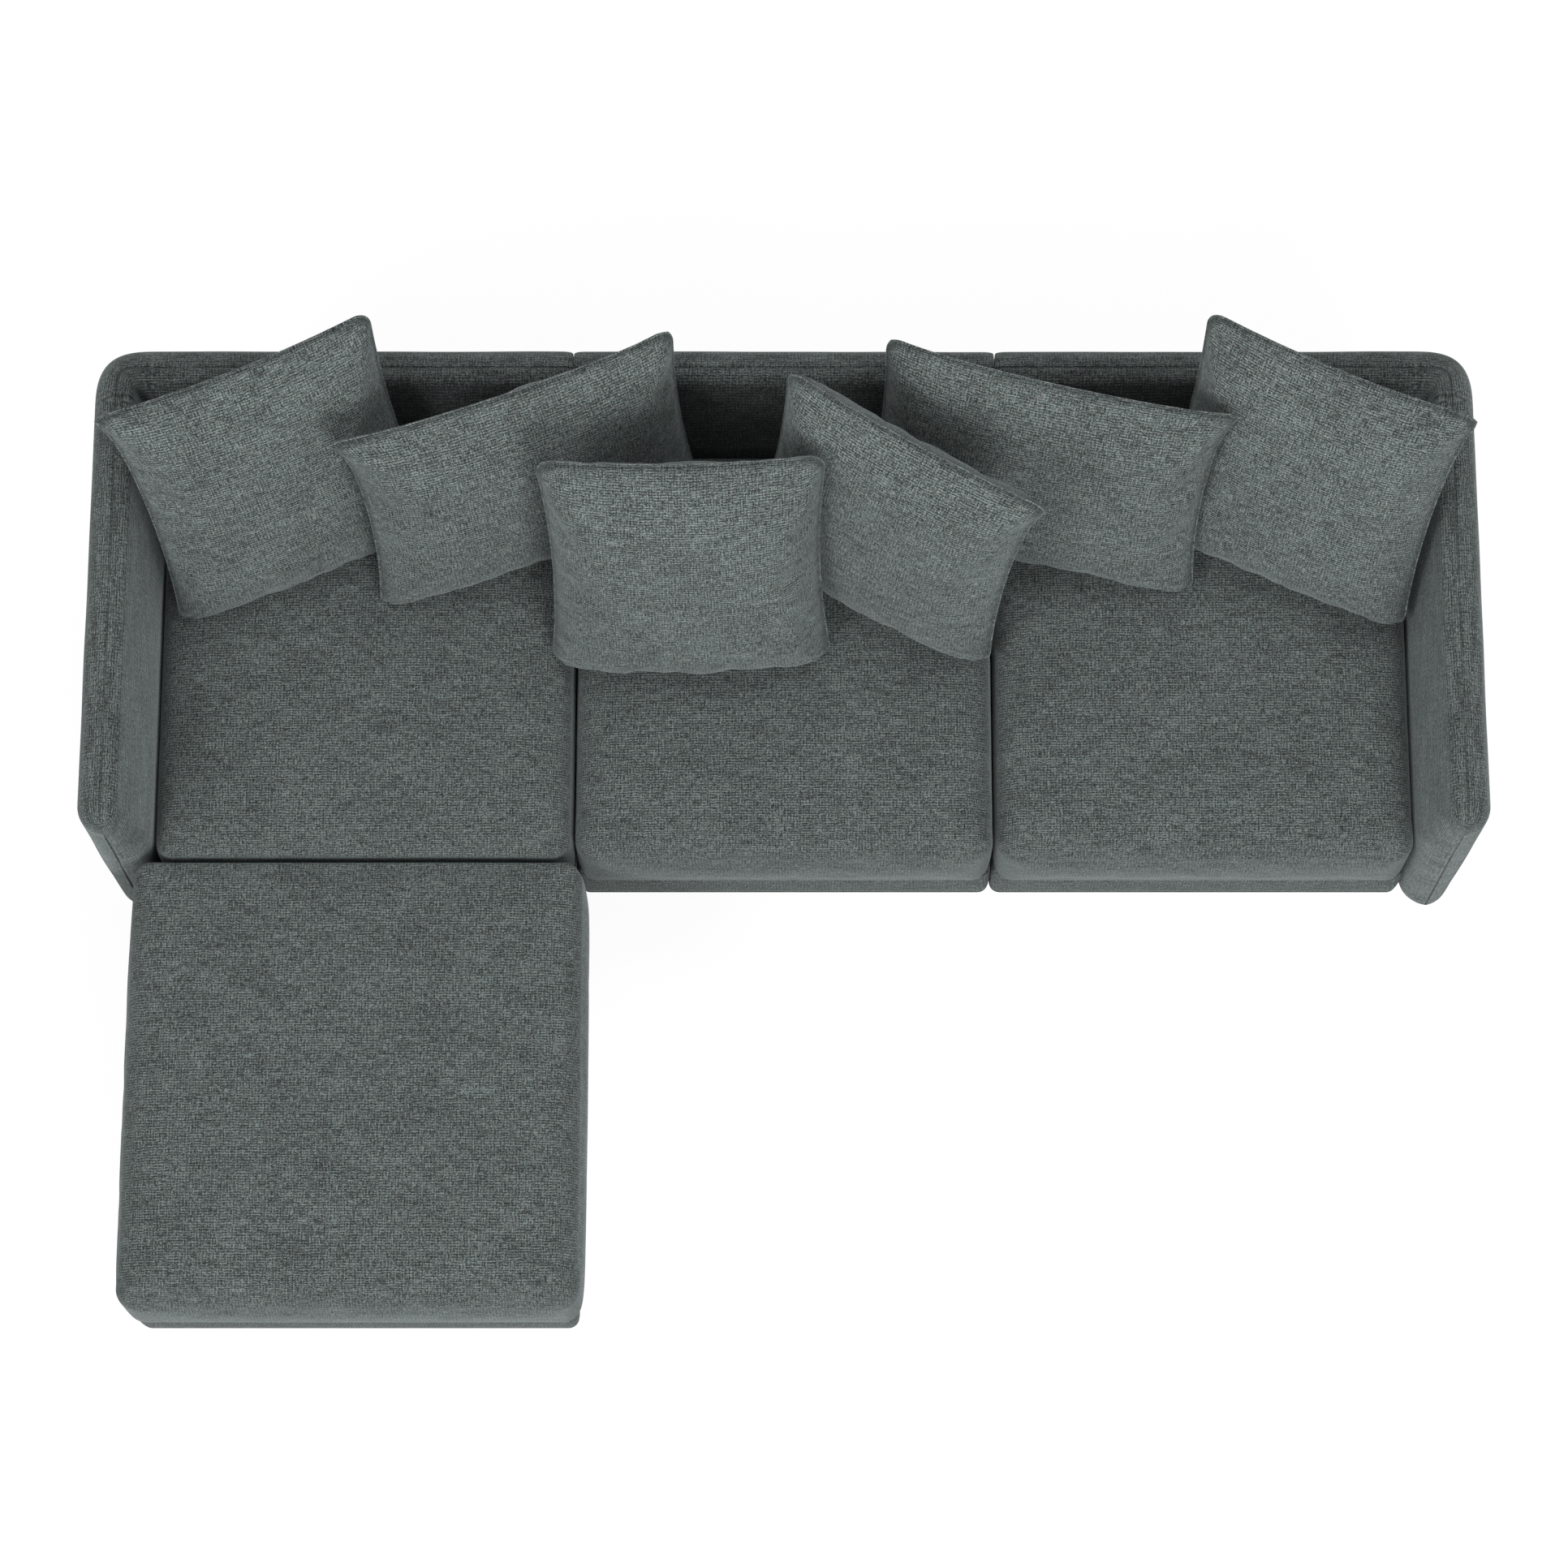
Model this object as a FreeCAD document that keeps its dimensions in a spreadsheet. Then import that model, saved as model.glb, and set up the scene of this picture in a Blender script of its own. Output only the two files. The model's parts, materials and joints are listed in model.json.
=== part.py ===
import FreeCAD, Part
import math
import os
import Sketcher
from FreeCAD import Vector

# Low modular sofa of three seats with a footstool and six loose pillows. Millimetres.
# The origin is on the floor at the centre of the footprint. Seen from the front, +X runs to the right,
# +Y to the back of the sofa and +Z up. The footstool stands before the left seat.

doc = FreeCAD.newDocument("sofa")
sheet = doc.addObject("Spreadsheet::Sheet", "Dims")

SIZES = (
    ("seat_width", 764, "one seat module from joint to joint"),
    ("seat_depth", 770, "base from its front to the back padding"),
    ("seat_height", 435, "edge of the seat cushions above the floor"),
    ("seat_crown", 14, "rise of a seat cushion above its edge"),
    ("seat_gap", 2, "gap beside a seat cushion"),
    ("cushion_overhang", 12, "seat cushion in front of the base"),
    ("cushion_corner", 42, "plan radius of the cushion corners"),
    ("cushion_roll", 36, "rounding of the upper cushion edges"),
    ("cushion_wall", 24, "cover and wrap round the foam core"),
    ("arm_thickness", 104, "arm at seat height"),
    ("back_thickness", 118, "back at seat height"),
    ("tub_height", 670, "top of the arms and the back"),
    ("tub_taper", 8, "outer faces drawn in at the floor end"),
    ("tub_setback", 45, "top seam from the outer face"),
    ("tub_edge", 30, "radius from the top seam to the inner faces"),
    ("tub_corner", 66, "plan radius of the rear corners"),
    ("tub_skin", 6, "fabric and fleece over the tub foam"),
    ("nose_reach", 22, "arm noses in front of the bases"),
    ("nose_radius", 42, "rounding of the arm noses"),
    ("seam_radius", 10, "rounding of the back at the module joints"),
    ("module_gap", 1, "gap between neighbouring modules"),
    ("leg_height", 130, "underside of the bases above the floor"),
    ("leg_top", 46, "side of the square leg at its plate"),
    ("leg_foot", 30, "side of the square leg at its foot"),
    ("glide_height", 4, "felt glide under a leg"),
    ("leg_plate", 64, "side of the steel plate over a leg"),
    ("leg_plate_thickness", 2, "steel plate over a leg"),
    ("base_height", 120, "upholstered base"),
    ("base_corner", 20, "vertical corner radius of the bases"),
    ("base_wall", 14, "padded border of the bases"),
    ("deck_thickness", 5, "fabric deck over the webbing"),
    ("rail_thickness", 25, "timber rails of the base frames"),
    ("block_size", 70, "corner blocks of the base frames"),
    ("block_height", 40, "corner blocks of the base frames"),
    ("strap_width", 60, "elastic webbing"),
    ("strap_thickness", 2, "elastic webbing"),
    ("dust_recess", 2.5, "dust cover above the hem of the base"),
    ("dust_thickness", 1.5, "dust cover cloth"),
    ("frame_thickness", 24, "timber of the arm and back frames"),
    ("frame_offset", 38, "arm and back frames from the outer face"),
    ("frame_top", 590, "upper edge of the arm and back frames"),
    ("frame_rail", 100, "lower rail of the arm and back frames"),
    ("frame_post", 50, "posts and upper rails of these frames"),
    ("plate_length", 110, "steel plate across two modules or to a tub frame"),
    ("plate_width", 40, "steel plate"),
    ("plate_thickness", 3, "steel plate"),
    ("plate_inset", 170, "steel plates from the corners of a base"),
    ("grip_width", 50, "grip strips under the seat cushions"),
    ("grip_thickness", 2, "grip strips under the seat cushions"),
    ("grip_inset", 120, "grip strips from the ends of the deck"),
    ("stool_width", 822, "footstool cushion"),
    ("stool_depth", 816, "footstool cushion"),
    ("stool_gap", 4, "footstool cushion from the seat cushions"),
    ("stool_inset", 68, "footstool from the outer face of the left arm"),
    ("stool_overhang", 12, "footstool cushion beyond its base"),
    ("square_pillow", 500, "side of the square pillows"),
    ("square_pillow_loft", 140, "thickness of the square pillows"),
    ("long_pillow_width", 624, "oblong pillows"),
    ("long_pillow_height", 422, "oblong pillows"),
    ("long_pillow_loft", 130, "thickness of the oblong pillows"),
    ("pillow_draw", 17, "pillow sides drawn in between the corners"),
    ("pillow_edge", 6, "thickness of the pillow at its sewn edge"),
    ("pillow_rest", 0.3, "pillow above the cushion that it stands on"),
    ("pillow_wrap", 45, "cover and seam allowance beyond the insert"),
    ("fit", 0.3, "clearance between pieces that sit in one another"),
)

for row, (alias, number, meaning) in enumerate(SIZES, start=1):
    sheet.set("A%d" % row, meaning)
    sheet.set("B%d" % row, str(number))
    sheet.setAlias("B%d" % row, alias)
doc.recompute()

STRAPS = 5
NODES = {}


def full(expression):
    """Expression with every size read from the sheet."""
    words = []
    word = ""
    for letter in expression + " ":
        if letter.isalnum() or letter == "_":
            word += letter
            continue
        words.append("Dims." + word if word and word[0].isalpha() else word)
        words.append(letter)
        word = ""
    return "".join(words).strip()


def size(expression):
    return float(sheet.evalExpression(full(expression)))


def bind(item, name, expression):
    item.setExpression(name, full(expression))


def place(item, x, y, z):
    for axis, expression in zip("xyz", (x, y, z)):
        bind(item, "Placement.Base." + axis, expression)
    return item


def keep(label, item):
    item.Label = label
    NODES[label] = item
    return item


# Places that several pieces share, worked out from the sizes.
ARM_FACE = "(1.5 * seat_width)"
SIDE = "(1.5 * seat_width + arm_thickness)"
REAR = "((back_thickness + seat_depth + cushion_overhang + stool_gap + stool_depth) / 2)"
SEAT_REAR = "(%s - back_thickness)" % REAR
FRONT = "(%s - seat_depth)" % SEAT_REAR
NOSE = "(%s - nose_reach)" % FRONT
DECK = "(leg_height + base_height)"
CUSHION_FLOOR = "(%s + grip_thickness)" % DECK
RAIL_FLOOR = "(leg_height + dust_recess + dust_thickness)"
RAIL_TOP = "(%s - deck_thickness - 2 * strap_thickness)" % DECK
LEG_PLATE_TOP = "(leg_height + dust_recess)"
LEG_TOP = "(%s - leg_plate_thickness)" % LEG_PLATE_TOP
BORDER = "(base_wall + fit)"
LEG_INSET = "(%s + rail_thickness + block_size / 2)" % BORDER
STOOL_X = "(stool_inset + stool_width / 2 - %s)" % SIDE
STOOL_Y = "(stool_depth / 2 - %s)" % REAR


def box(name, x, y, z, length, width, height):
    item = doc.addObject("Part::Box", name)
    bind(item, "Length", length)
    bind(item, "Width", width)
    bind(item, "Height", height)
    return place(item, x, y, z)


def group(name, members):
    item = doc.addObject("Part::Compound", name)
    item.Links = members
    return item


def cut(name, base, tool):
    item = doc.addObject("Part::Cut", name)
    item.Base = base
    item.Tool = tool
    return item


def solid(name, shape):
    item = doc.addObject("Part::Feature", name)
    item.Shape = shape
    return item


def flat_face(face):
    """The face on a plane, where its edges are straight and its corners lie in one plane."""
    spots = [corner.Point for corner in face.OuterWire.OrderedVertexes]
    chords = sum((spots[index] - spots[index - 1]).Length for index in range(len(spots)))
    normal = (spots[1] - spots[0]).cross(spots[2] - spots[0]).normalize()
    off = max(abs((spot - spots[0]).dot(normal)) for spot in spots)
    if abs(face.OuterWire.Length - chords) > 1e-6 or off > 1e-6:
        return face
    return Part.Face(Part.makePolygon(spots + spots[:1]))


def flatten(shape):
    """The same solid with every flat, straight-edged face on a plane."""
    sewn = Part.Compound([flat_face(face) for face in shape.Faces])
    sewn.sewShape()
    whole = Part.Solid(sewn.Shells[0])
    if whole.Volume < 0:
        whole.reverse()
    return whole


def ruled(wires):
    """Solid through a row of sections, straight from each to the next."""
    return flatten(Part.makeLoft(wires, True, True))


def origin_plane(body, role):
    return next(part for part in body.Origin.OriginFeatures if part.Role == role)


def closed_sketch(body, name, role, points):
    """Sketch of straight lines through points, each a pair of size expressions."""
    sketch = body.newObject("Sketcher::SketchObject", name)
    sketch.AttachmentSupport = (origin_plane(body, role), [""])
    sketch.MapMode = "FlatFace"
    spots = [Vector(size(x), size(y), 0) for x, y in points]
    count = len(spots)
    for index in range(count):
        sketch.addGeometry(Part.LineSegment(spots[index], spots[(index + 1) % count]))
    for index in range(count):
        sketch.addConstraint(Sketcher.Constraint("Coincident", index, 2, (index + 1) % count, 1))
    for index, point in enumerate(points):
        for kind, axis, expression in zip(("DistanceX", "DistanceY"), "xy", point):
            place_of = sketch.addConstraint(
                Sketcher.Constraint(kind, -1, 1, index, 1, size(expression)))
            label = "corner%d%s" % (index, axis)
            sketch.renameConstraint(place_of, label)
            bind(sketch, "Constraints." + label, expression)
    doc.recompute()
    return sketch


def rectangle(width, depth):
    x = "(%s) / 2" % width
    y = "(%s) / 2" % depth
    return (("-" + x, "-" + y), (x, "-" + y), (x, y), ("-" + x, y))


def four_corners(body, feature, width, depth):
    """Repeat a feature at the other three corners of a rectangle."""
    pattern = body.newObject("PartDesign::LinearPattern", body.Name + "_corners")
    pattern.Originals = [feature]
    pattern.Direction = (origin_plane(body, "X_Axis"), [""])
    pattern.Direction2 = (origin_plane(body, "Y_Axis"), [""])
    pattern.Occurrences = 2
    pattern.Occurrences2 = 2
    bind(pattern, "Length", width)
    bind(pattern, "Length2", depth)
    body.Tip = pattern
    doc.recompute()


def base_cover(name, x, y, width, depth):
    """Padded border and deck of a base: a tray upside down with round corners."""
    body = doc.addObject("PartDesign::Body", name + "_border")
    outline = closed_sketch(body, name + "_outline", "XY_Plane", rectangle(width, depth))
    pad = body.newObject("PartDesign::Pad", name + "_block")
    pad.Profile = outline
    bind(pad, "Length", "base_height")
    doc.recompute()
    upright = ["Edge%d" % (number + 1) for number, edge in enumerate(pad.Shape.Edges)
               if abs(edge.tangentAt(edge.FirstParameter).z) > 0.9]
    round_off = body.newObject("PartDesign::Fillet", name + "_rounding")
    round_off.Base = (pad, upright)
    bind(round_off, "Radius", "base_corner")
    doc.recompute()
    hollow = closed_sketch(body, name + "_hollow", "XY_Plane",
                           rectangle("%s - 2 * base_wall" % width, "%s - 2 * base_wall" % depth))
    pocket = body.newObject("PartDesign::Pocket", name + "_inside")
    pocket.Profile = hollow
    pocket.Reversed = True
    bind(pocket, "Length", "base_height - deck_thickness")
    body.Tip = pocket
    doc.recompute()
    if pocket.Shape.Volume > 0.5 * pad.Shape.Volume:
        raise RuntimeError("the hollow of %s was not cut" % name)
    return place(body, x, y, "leg_height")


def leg_row(name, kind, x, y, width, depth, floor, tall, foot, top):
    """Four square pieces on the axes of the legs, tapered from the foot to the top."""
    body = doc.addObject("PartDesign::Body", "%s_%s" % (name, kind))
    piece = body.newObject("PartDesign::AdditiveWedge", "%s_%s_one" % (name, kind))
    for low, high, side in (("Xmin", "Xmax", foot), ("Zmin", "Zmax", foot), ("X2min", "X2max", top),
                            ("Z2min", "Z2max", top)):
        bind(piece, low, "-(%s) / 2" % side)
        bind(piece, high, "(%s) / 2" % side)
    piece.Ymin = 0
    bind(piece, "Ymax", tall)
    piece.Placement.Rotation = FreeCAD.Rotation(Vector(1, 0, 0), 90)
    doc.recompute()
    spread_x = "%s - 2 * %s" % (width, LEG_INSET)
    spread_y = "%s - 2 * %s" % (depth, LEG_INSET)
    four_corners(body, piece, spread_x, spread_y)
    return place(body, "%s - (%s) / 2" % (x, spread_x), "%s - (%s) / 2" % (y, spread_y), floor)


def leg_axes(x, y, width, depth):
    for side in ("-", "+"):
        for end in ("-", "+"):
            yield ("%s %s (%s / 2 - %s)" % (x, side, width, LEG_INSET),
                   "%s %s (%s / 2 - %s)" % (y, end, depth, LEG_INSET))


def base_frame(name, x, y, width, depth):
    """Four rails, a middle rail and four corner blocks, all glued timber."""
    wide = "(%s - 2 * %s)" % (width, BORDER)
    deep = "(%s - 2 * %s)" % (depth, BORDER)
    tall = "%s - %s" % (RAIL_TOP, RAIL_FLOOR)
    left = "%s - %s / 2" % (x, wide)
    right = "%s + %s / 2 - rail_thickness" % (x, wide)
    front = "%s - %s / 2" % (y, deep)
    rear = "%s + %s / 2 - rail_thickness" % (y, deep)
    between = deep + " - 2 * rail_thickness"
    inside = front + " + rail_thickness"
    members = [
        box(name + "_front_rail", left, front, RAIL_FLOOR, wide, "rail_thickness", tall),
        box(name + "_rear_rail", left, rear, RAIL_FLOOR, wide, "rail_thickness", tall),
        box(name + "_left_rail", left, inside, RAIL_FLOOR, "rail_thickness", between, tall),
        box(name + "_right_rail", right, inside, RAIL_FLOOR, "rail_thickness", between, tall),
        box(name + "_middle_rail", x + " - rail_thickness / 2", inside, RAIL_FLOOR,
            "rail_thickness", between, "block_height"),
    ]
    for at_x, at_y in leg_axes(x, y, width, depth):
        members.append(box(name + "_block", at_x + " - block_size / 2", at_y + " - block_size / 2",
                           RAIL_FLOOR, "block_size", "block_size", "block_height"))
    return group(name + "_timber", members)


def webbing(name, x, y, width, depth):
    """Straps from front to rear with cross straps laid over them."""
    wide = "(%s - 2 * %s)" % (width, BORDER)
    deep = "(%s - 2 * %s)" % (depth, BORDER)
    layers = []
    for kind, span, length, across, level, axis in (
            ("long", wide, "strap_width", deep, RAIL_TOP, "X_Axis"),
            ("cross", deep, wide, "strap_width", RAIL_TOP + " + strap_thickness", "Y_Axis")):
        body = doc.addObject("PartDesign::Body", "%s_%s_straps" % (name, kind))
        strap = body.newObject("PartDesign::AdditiveBox", "%s_%s_strap" % (name, kind))
        bind(strap, "Length", length)
        bind(strap, "Width", across)
        bind(strap, "Height", "strap_thickness")
        doc.recompute()
        row = body.newObject("PartDesign::LinearPattern", "%s_%s_row" % (name, kind))
        row.Originals = [strap]
        row.Direction = (origin_plane(body, axis), [""])
        row.Occurrences = STRAPS
        margin = "2 * rail_thickness"
        bind(row, "Length", "%s - strap_width - 2 * %s" % (span, margin))
        body.Tip = row
        start_x = "%s - %s / 2" % (x, wide)
        start_y = "%s - %s / 2" % (y, deep)
        if kind == "long":
            start_x += " + " + margin
        else:
            start_y += " + " + margin
        layers.append(place(body, start_x, start_y, level))
    doc.recompute()
    return group(name + "_straps", layers)


# Form of a boxed cushion. The foot is drawn in by a share of the roll over a share of its height, the
# upper edge rolls over in steps of degrees, and the crown levels off at a share of the half width.
FOOT_DRAW = 0.3
FOOT_RISE = 0.8
ROLL_TURNS = (0, 27, 54, 80)
CROWN_REACH = 0.6


def rounded_wire(x0, x1, y0, y1, z, radius):
    """Rectangle with round corners at one level, as lines and quarter arcs."""
    edges = []
    corners = ((x1, y0, -1, 1, -90), (x1, y1, -1, -1, 0), (x0, y1, 1, -1, 90), (x0, y0, 1, 1, 180))
    arcs = []
    for x, y, to_x, to_y, start in corners:
        centre = Vector(x + to_x * radius, y + to_y * radius, z)
        spots = [centre + Vector(math.cos(math.radians(start + turn)),
                                 math.sin(math.radians(start + turn)), 0) * radius
                 for turn in (0, 45, 90)]
        arcs.append(spots)
    for index, spots in enumerate(arcs):
        following = arcs[(index + 1) % len(arcs)]
        edges.append(Part.Arc(*spots).toShape())
        edges.append(Part.LineSegment(spots[2], following[0]).toShape())
    return Part.Wire(edges)


def cushion_form(x0, x1, y0, y1):
    """Boxed seat cushion: drawn in at its foot, rolled upper edges and a crown."""
    floor = size(CUSHION_FLOOR)
    edge = size("seat_height")
    roll = size("cushion_roll")
    crown = size("seat_crown")
    corner = size("cushion_corner")
    reach = min(x1 - x0, y1 - y0) / 2
    levels = [(floor, FOOT_DRAW * roll), (floor + FOOT_RISE * roll, 0)]
    for turn in ROLL_TURNS:
        angle = math.radians(turn)
        levels.append((edge - roll * (1 - math.sin(angle)), roll * (1 - math.cos(angle))))
    levels.append((edge + crown, CROWN_REACH * reach))
    wires = []
    for level, inset in levels:
        radius = corner - min(inset, roll * (1 - math.cos(math.radians(ROLL_TURNS[-1]))))
        wires.append(rounded_wire(x0 + inset, x1 - inset, y0 + inset, y1 - inset, level, radius))
    return ruled(wires)


def seat_cushion(name, x, y, width, depth):
    """Cover with its foam core in it, between the seat's sides, front and rear."""
    left, right = size("%s - (%s) / 2" % (x, width)), size("%s + (%s) / 2" % (x, width))
    front, rear = size("%s - (%s) / 2" % (y, depth)), size("%s + (%s) / 2" % (y, depth))
    form = solid(name + "_form", cushion_form(left, right, front, rear))
    core_size = "%s - 2 * cushion_wall"
    core_tall = "seat_height - %s - 2 * cushion_wall" % CUSHION_FLOOR
    core = box(name + "_foam", "%s - (%s) / 2 + cushion_wall" % (x, width),
               "%s - (%s) / 2 + cushion_wall" % (y, depth), CUSHION_FLOOR + " + cushion_wall",
               core_size % width, core_size % depth, core_tall)
    cavity = box(name + "_cavity", "%s - (%s) / 2 + cushion_wall - fit" % (x, width),
                 "%s - (%s) / 2 + cushion_wall - fit" % (y, depth),
                 CUSHION_FLOOR + " + cushion_wall - fit", core_size % width + " + 2 * fit",
                 core_size % depth + " + 2 * fit", core_tall + " + 2 * fit")
    keep(name + "_seat_core", core)
    return keep(name + "_seat_cover", cut(name + "_cover_shell", form, cavity))


def grips(name, x, y, width, depth):
    return [box(name + "_grip", x + " - (%s) / 2 + grip_inset" % width,
                "%s %s ((%s) / 2 - grip_inset) - grip_width / 2" % (y, end, depth), DECK,
                width + " - 2 * grip_inset", "grip_width", "grip_thickness")
            for end in ("-", "+")]


def base_unit(name, x, y, width, depth):
    """Everything of one module from the floor to its deck, and its leg plates and glides."""
    wide = "(%s - 2 * %s)" % (width, BORDER)
    deep = "(%s - 2 * %s)" % (depth, BORDER)
    keep(name + "_base_frame", base_frame(name, x, y, width, depth))
    keep(name + "_base_cover", base_cover(name, x, y, width, depth))
    keep(name + "_dust_cover", box(name + "_dust_cloth", "%s - %s / 2" % (x, wide),
                                   "%s - %s / 2" % (y, deep), LEG_PLATE_TOP, wide, deep,
                                   "dust_thickness"))
    keep(name + "_webbing", webbing(name, x, y, width, depth))
    keep(name + "_legs", leg_row(name, "legs", x, y, width, depth, "glide_height",
                                 LEG_TOP + " - glide_height", "leg_foot", "leg_top"))
    plates = leg_row(name, "leg_plates", x, y, width, depth, LEG_TOP, "leg_plate_thickness",
                     "leg_plate", "leg_plate")
    glides = leg_row(name, "glides", x, y, width, depth, "0", "glide_height", "leg_foot - 2 * fit",
                     "leg_foot - fit")
    return plates, glides


def rake(thickness):
    """Lean of an inner face that leaves the top edge and reaches its thickness at the seat."""
    across = thickness - size("tub_setback")
    drop = size("tub_height - seat_height - tub_edge")
    return math.acos(size("tub_edge") / math.hypot(across, drop)) - math.atan2(drop, across)


def tub_wire(thickness, inset, floor, station, limit=None, slab=False):
    """Section of the tub at a station, which maps depth from the outer face and height to space.

    The section runs up the outer face, over two arcs that meet at the top seam and down the raked
    inner face. A limit ends it at that depth, for the turn of a corner. A slab has straight cuts in
    place of the arcs.
    """
    seam = size("tub_setback")
    top = size("tub_height")
    edge = size("tub_edge")
    outer_radius = seam - inset
    inner_radius = edge - inset
    lean = rake(thickness)

    def outer(angle):
        return station(seam - outer_radius * math.cos(angle),
                       top - seam + outer_radius * math.sin(angle))

    def inner(angle):
        return station(seam + inner_radius * math.cos(angle),
                       top - edge + inner_radius * math.sin(angle))

    quarter = math.pi / 2
    last = lean
    corner = station(thickness - inset, size("seat_height") - inset * math.tan(lean / 2))
    heel = station(thickness - inset, floor)
    if limit is not None:
        last = math.acos((limit - seam) / inner_radius)
        corner = station(limit, size("seat_height"))
        heel = station(limit, floor)
    foot = station(size("tub_taper") + inset, floor)
    bends = ((outer(0), outer(quarter / 2), outer(quarter)),
             (inner(quarter), inner((quarter + last) / 2), inner(last)))
    edges = [Part.LineSegment(foot, outer(0)).toShape()]
    for first, middle, final in bends:
        if slab:
            edges.append(Part.LineSegment(first, middle).toShape())
            edges.append(Part.LineSegment(middle, final).toShape())
        else:
            edges.append(Part.Arc(first, middle, final).toShape())
    for first, final in ((inner(last), corner), (corner, heel), (heel, foot)):
        edges.append(Part.LineSegment(first, final).toShape())
    return Part.Wire(edges)


# Steps of degrees round an arm nose, and the share of its rounding that the back is drawn in by at a
# module joint.
NOSE_TURNS = (65, 35, 0)
SEAM_DRAW = 0.4


def arm_form(inset, floor, slab):
    """Left arm from its rounded nose to where the rear corner starts."""
    thickness = size("arm_thickness")
    radius = size("nose_radius") - inset
    front = size(NOSE) + inset
    widest = math.sin(math.radians(NOSE_TURNS[0]))
    stops = []
    for turn in NOSE_TURNS:
        angle = math.radians(turn)
        stops.append((front + radius * (widest - math.sin(angle)),
                      inset + radius * (1 - math.cos(angle))))
    stops.append((size(REAR + " - tub_corner"), inset))
    return ruled([tub_wire(thickness, depth, floor,
                           lambda across, up, at=at: Vector(across - size(SIDE), at, up), slab=slab)
                  for at, depth in stops])


def back_form(inset, floor, start, end, round_start, slab):
    """Straight stretch of back from X start to X end, eased at the module joints."""
    thickness = size("back_thickness")
    ease = size("seam_radius")
    draw = SEAM_DRAW * ease
    stops = [(start, inset)]
    if round_start:
        stops = [(start + inset, inset + draw), (start + inset + ease, inset)]
    stops += [(end - inset - ease, inset), (end - inset, inset + draw)]
    return ruled([tub_wire(thickness, depth, floor,
                           lambda across, up, at=at: Vector(at, size(REAR) - across, up), slab=slab)
                  for at, depth in stops])


def corner_form(floor):
    """Rounded rear left corner, the section turned a quarter from the arm to the back."""
    radius = size("tub_corner")
    axis = Vector(radius - size(SIDE), size(REAR) - radius, 0)
    wire = tub_wire(size("arm_thickness"), 0, floor,
                    lambda across, up: Vector(across - size(SIDE), axis.y, up), limit=radius)
    return Part.Face(wire).revolve(axis, Vector(0, 0, 1), -90)


def tub_form(inset, floor, side, slab):
    """Padding of the left module, its mirror image on the right, or the middle back."""
    joint = size("seat_width / 2 + module_gap / 2")
    if side == 0:
        end = size("seat_width / 2 - module_gap / 2")
        return back_form(inset, floor, -end, end, True, slab)
    start = size("tub_corner - %s" % SIDE)
    stretches = [back_form(inset, floor, start, -joint, False, slab)]
    if not slab:
        stretches.append(corner_form(floor))
    form = arm_form(inset, floor, slab).fuse(stretches).removeSplitter()
    if side > 0:
        form = form.mirror(Vector(0, 0, 0), Vector(1, 0, 0))
    return form


def tub_frame(name, x, y, length, width):
    """Two posts between a deep lower rail and an upper rail, along X or along Y."""
    along_x = length != "frame_thickness"
    floor = RAIL_FLOOR
    rail_end = floor + " + frame_rail"
    post_tall = "frame_top - frame_post - (%s)" % rail_end
    members = [
        box(name + "_lower_rail", x, y, floor, length, width, "frame_rail"),
        box(name + "_upper_rail", x, y, "frame_top - frame_post", length, width, "frame_post"),
    ]
    for share in ("0", "1"):
        if along_x:
            post = box(name + "_post", "%s + %s * (%s - frame_post)" % (x, share, length), y,
                       rail_end, "frame_post", width, post_tall)
        else:
            post = box(name + "_post", x, "%s + %s * (%s - frame_post)" % (y, share, width),
                       rail_end, length, "frame_post", post_tall)
        members.append(post)
    return group(name + "_timber", members)


def slot(name, x, y, length, width):
    """Room for a frame in the foam, open downwards."""
    return box(name + "_slot", x + " - fit", y + " - fit", "leg_height", length + " + 2 * fit",
               width + " + 2 * fit", "frame_top + fit - leg_height")


def plate(name, x, y, length, width):
    """Steel plate under the hems, centred at x, y."""
    return box(name, "%s - (%s) / 2" % (x, length), "%s - (%s) / 2" % (y, width),
               "leg_height - plate_thickness", length, width, "plate_thickness")


MODULES = (("left", -1), ("middle", 0), ("right", 1))
MODULE_WIDTH = "(seat_width - module_gap)"
MODULE_DEPTH = "(seat_depth - fit)"
MODULE_Y = "(%s - (seat_depth + fit) / 2)" % SEAT_REAR
CUSHION_DEPTH = "(seat_depth + cushion_overhang - seat_gap)"
CUSHION_Y = "(%s - seat_gap - %s / 2)" % (SEAT_REAR, CUSHION_DEPTH)
PLATE_ENDS = (FRONT + " + plate_inset", SEAT_REAR + " - plate_inset")
BACK_FRAME_Y = REAR + " - frame_offset - frame_thickness"
BACK_FRAME_END = "(tub_skin + seam_radius)"
ARM_FRAME_Y = NOSE + " + nose_radius + tub_skin"
ARM_FRAME_LONG = "%s - back_thickness - tub_skin - (%s)" % (REAR, ARM_FRAME_Y)

leg_plates = []
leg_glides = []
grip_strips = []
joining_plates = []
tub_plates = []

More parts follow.
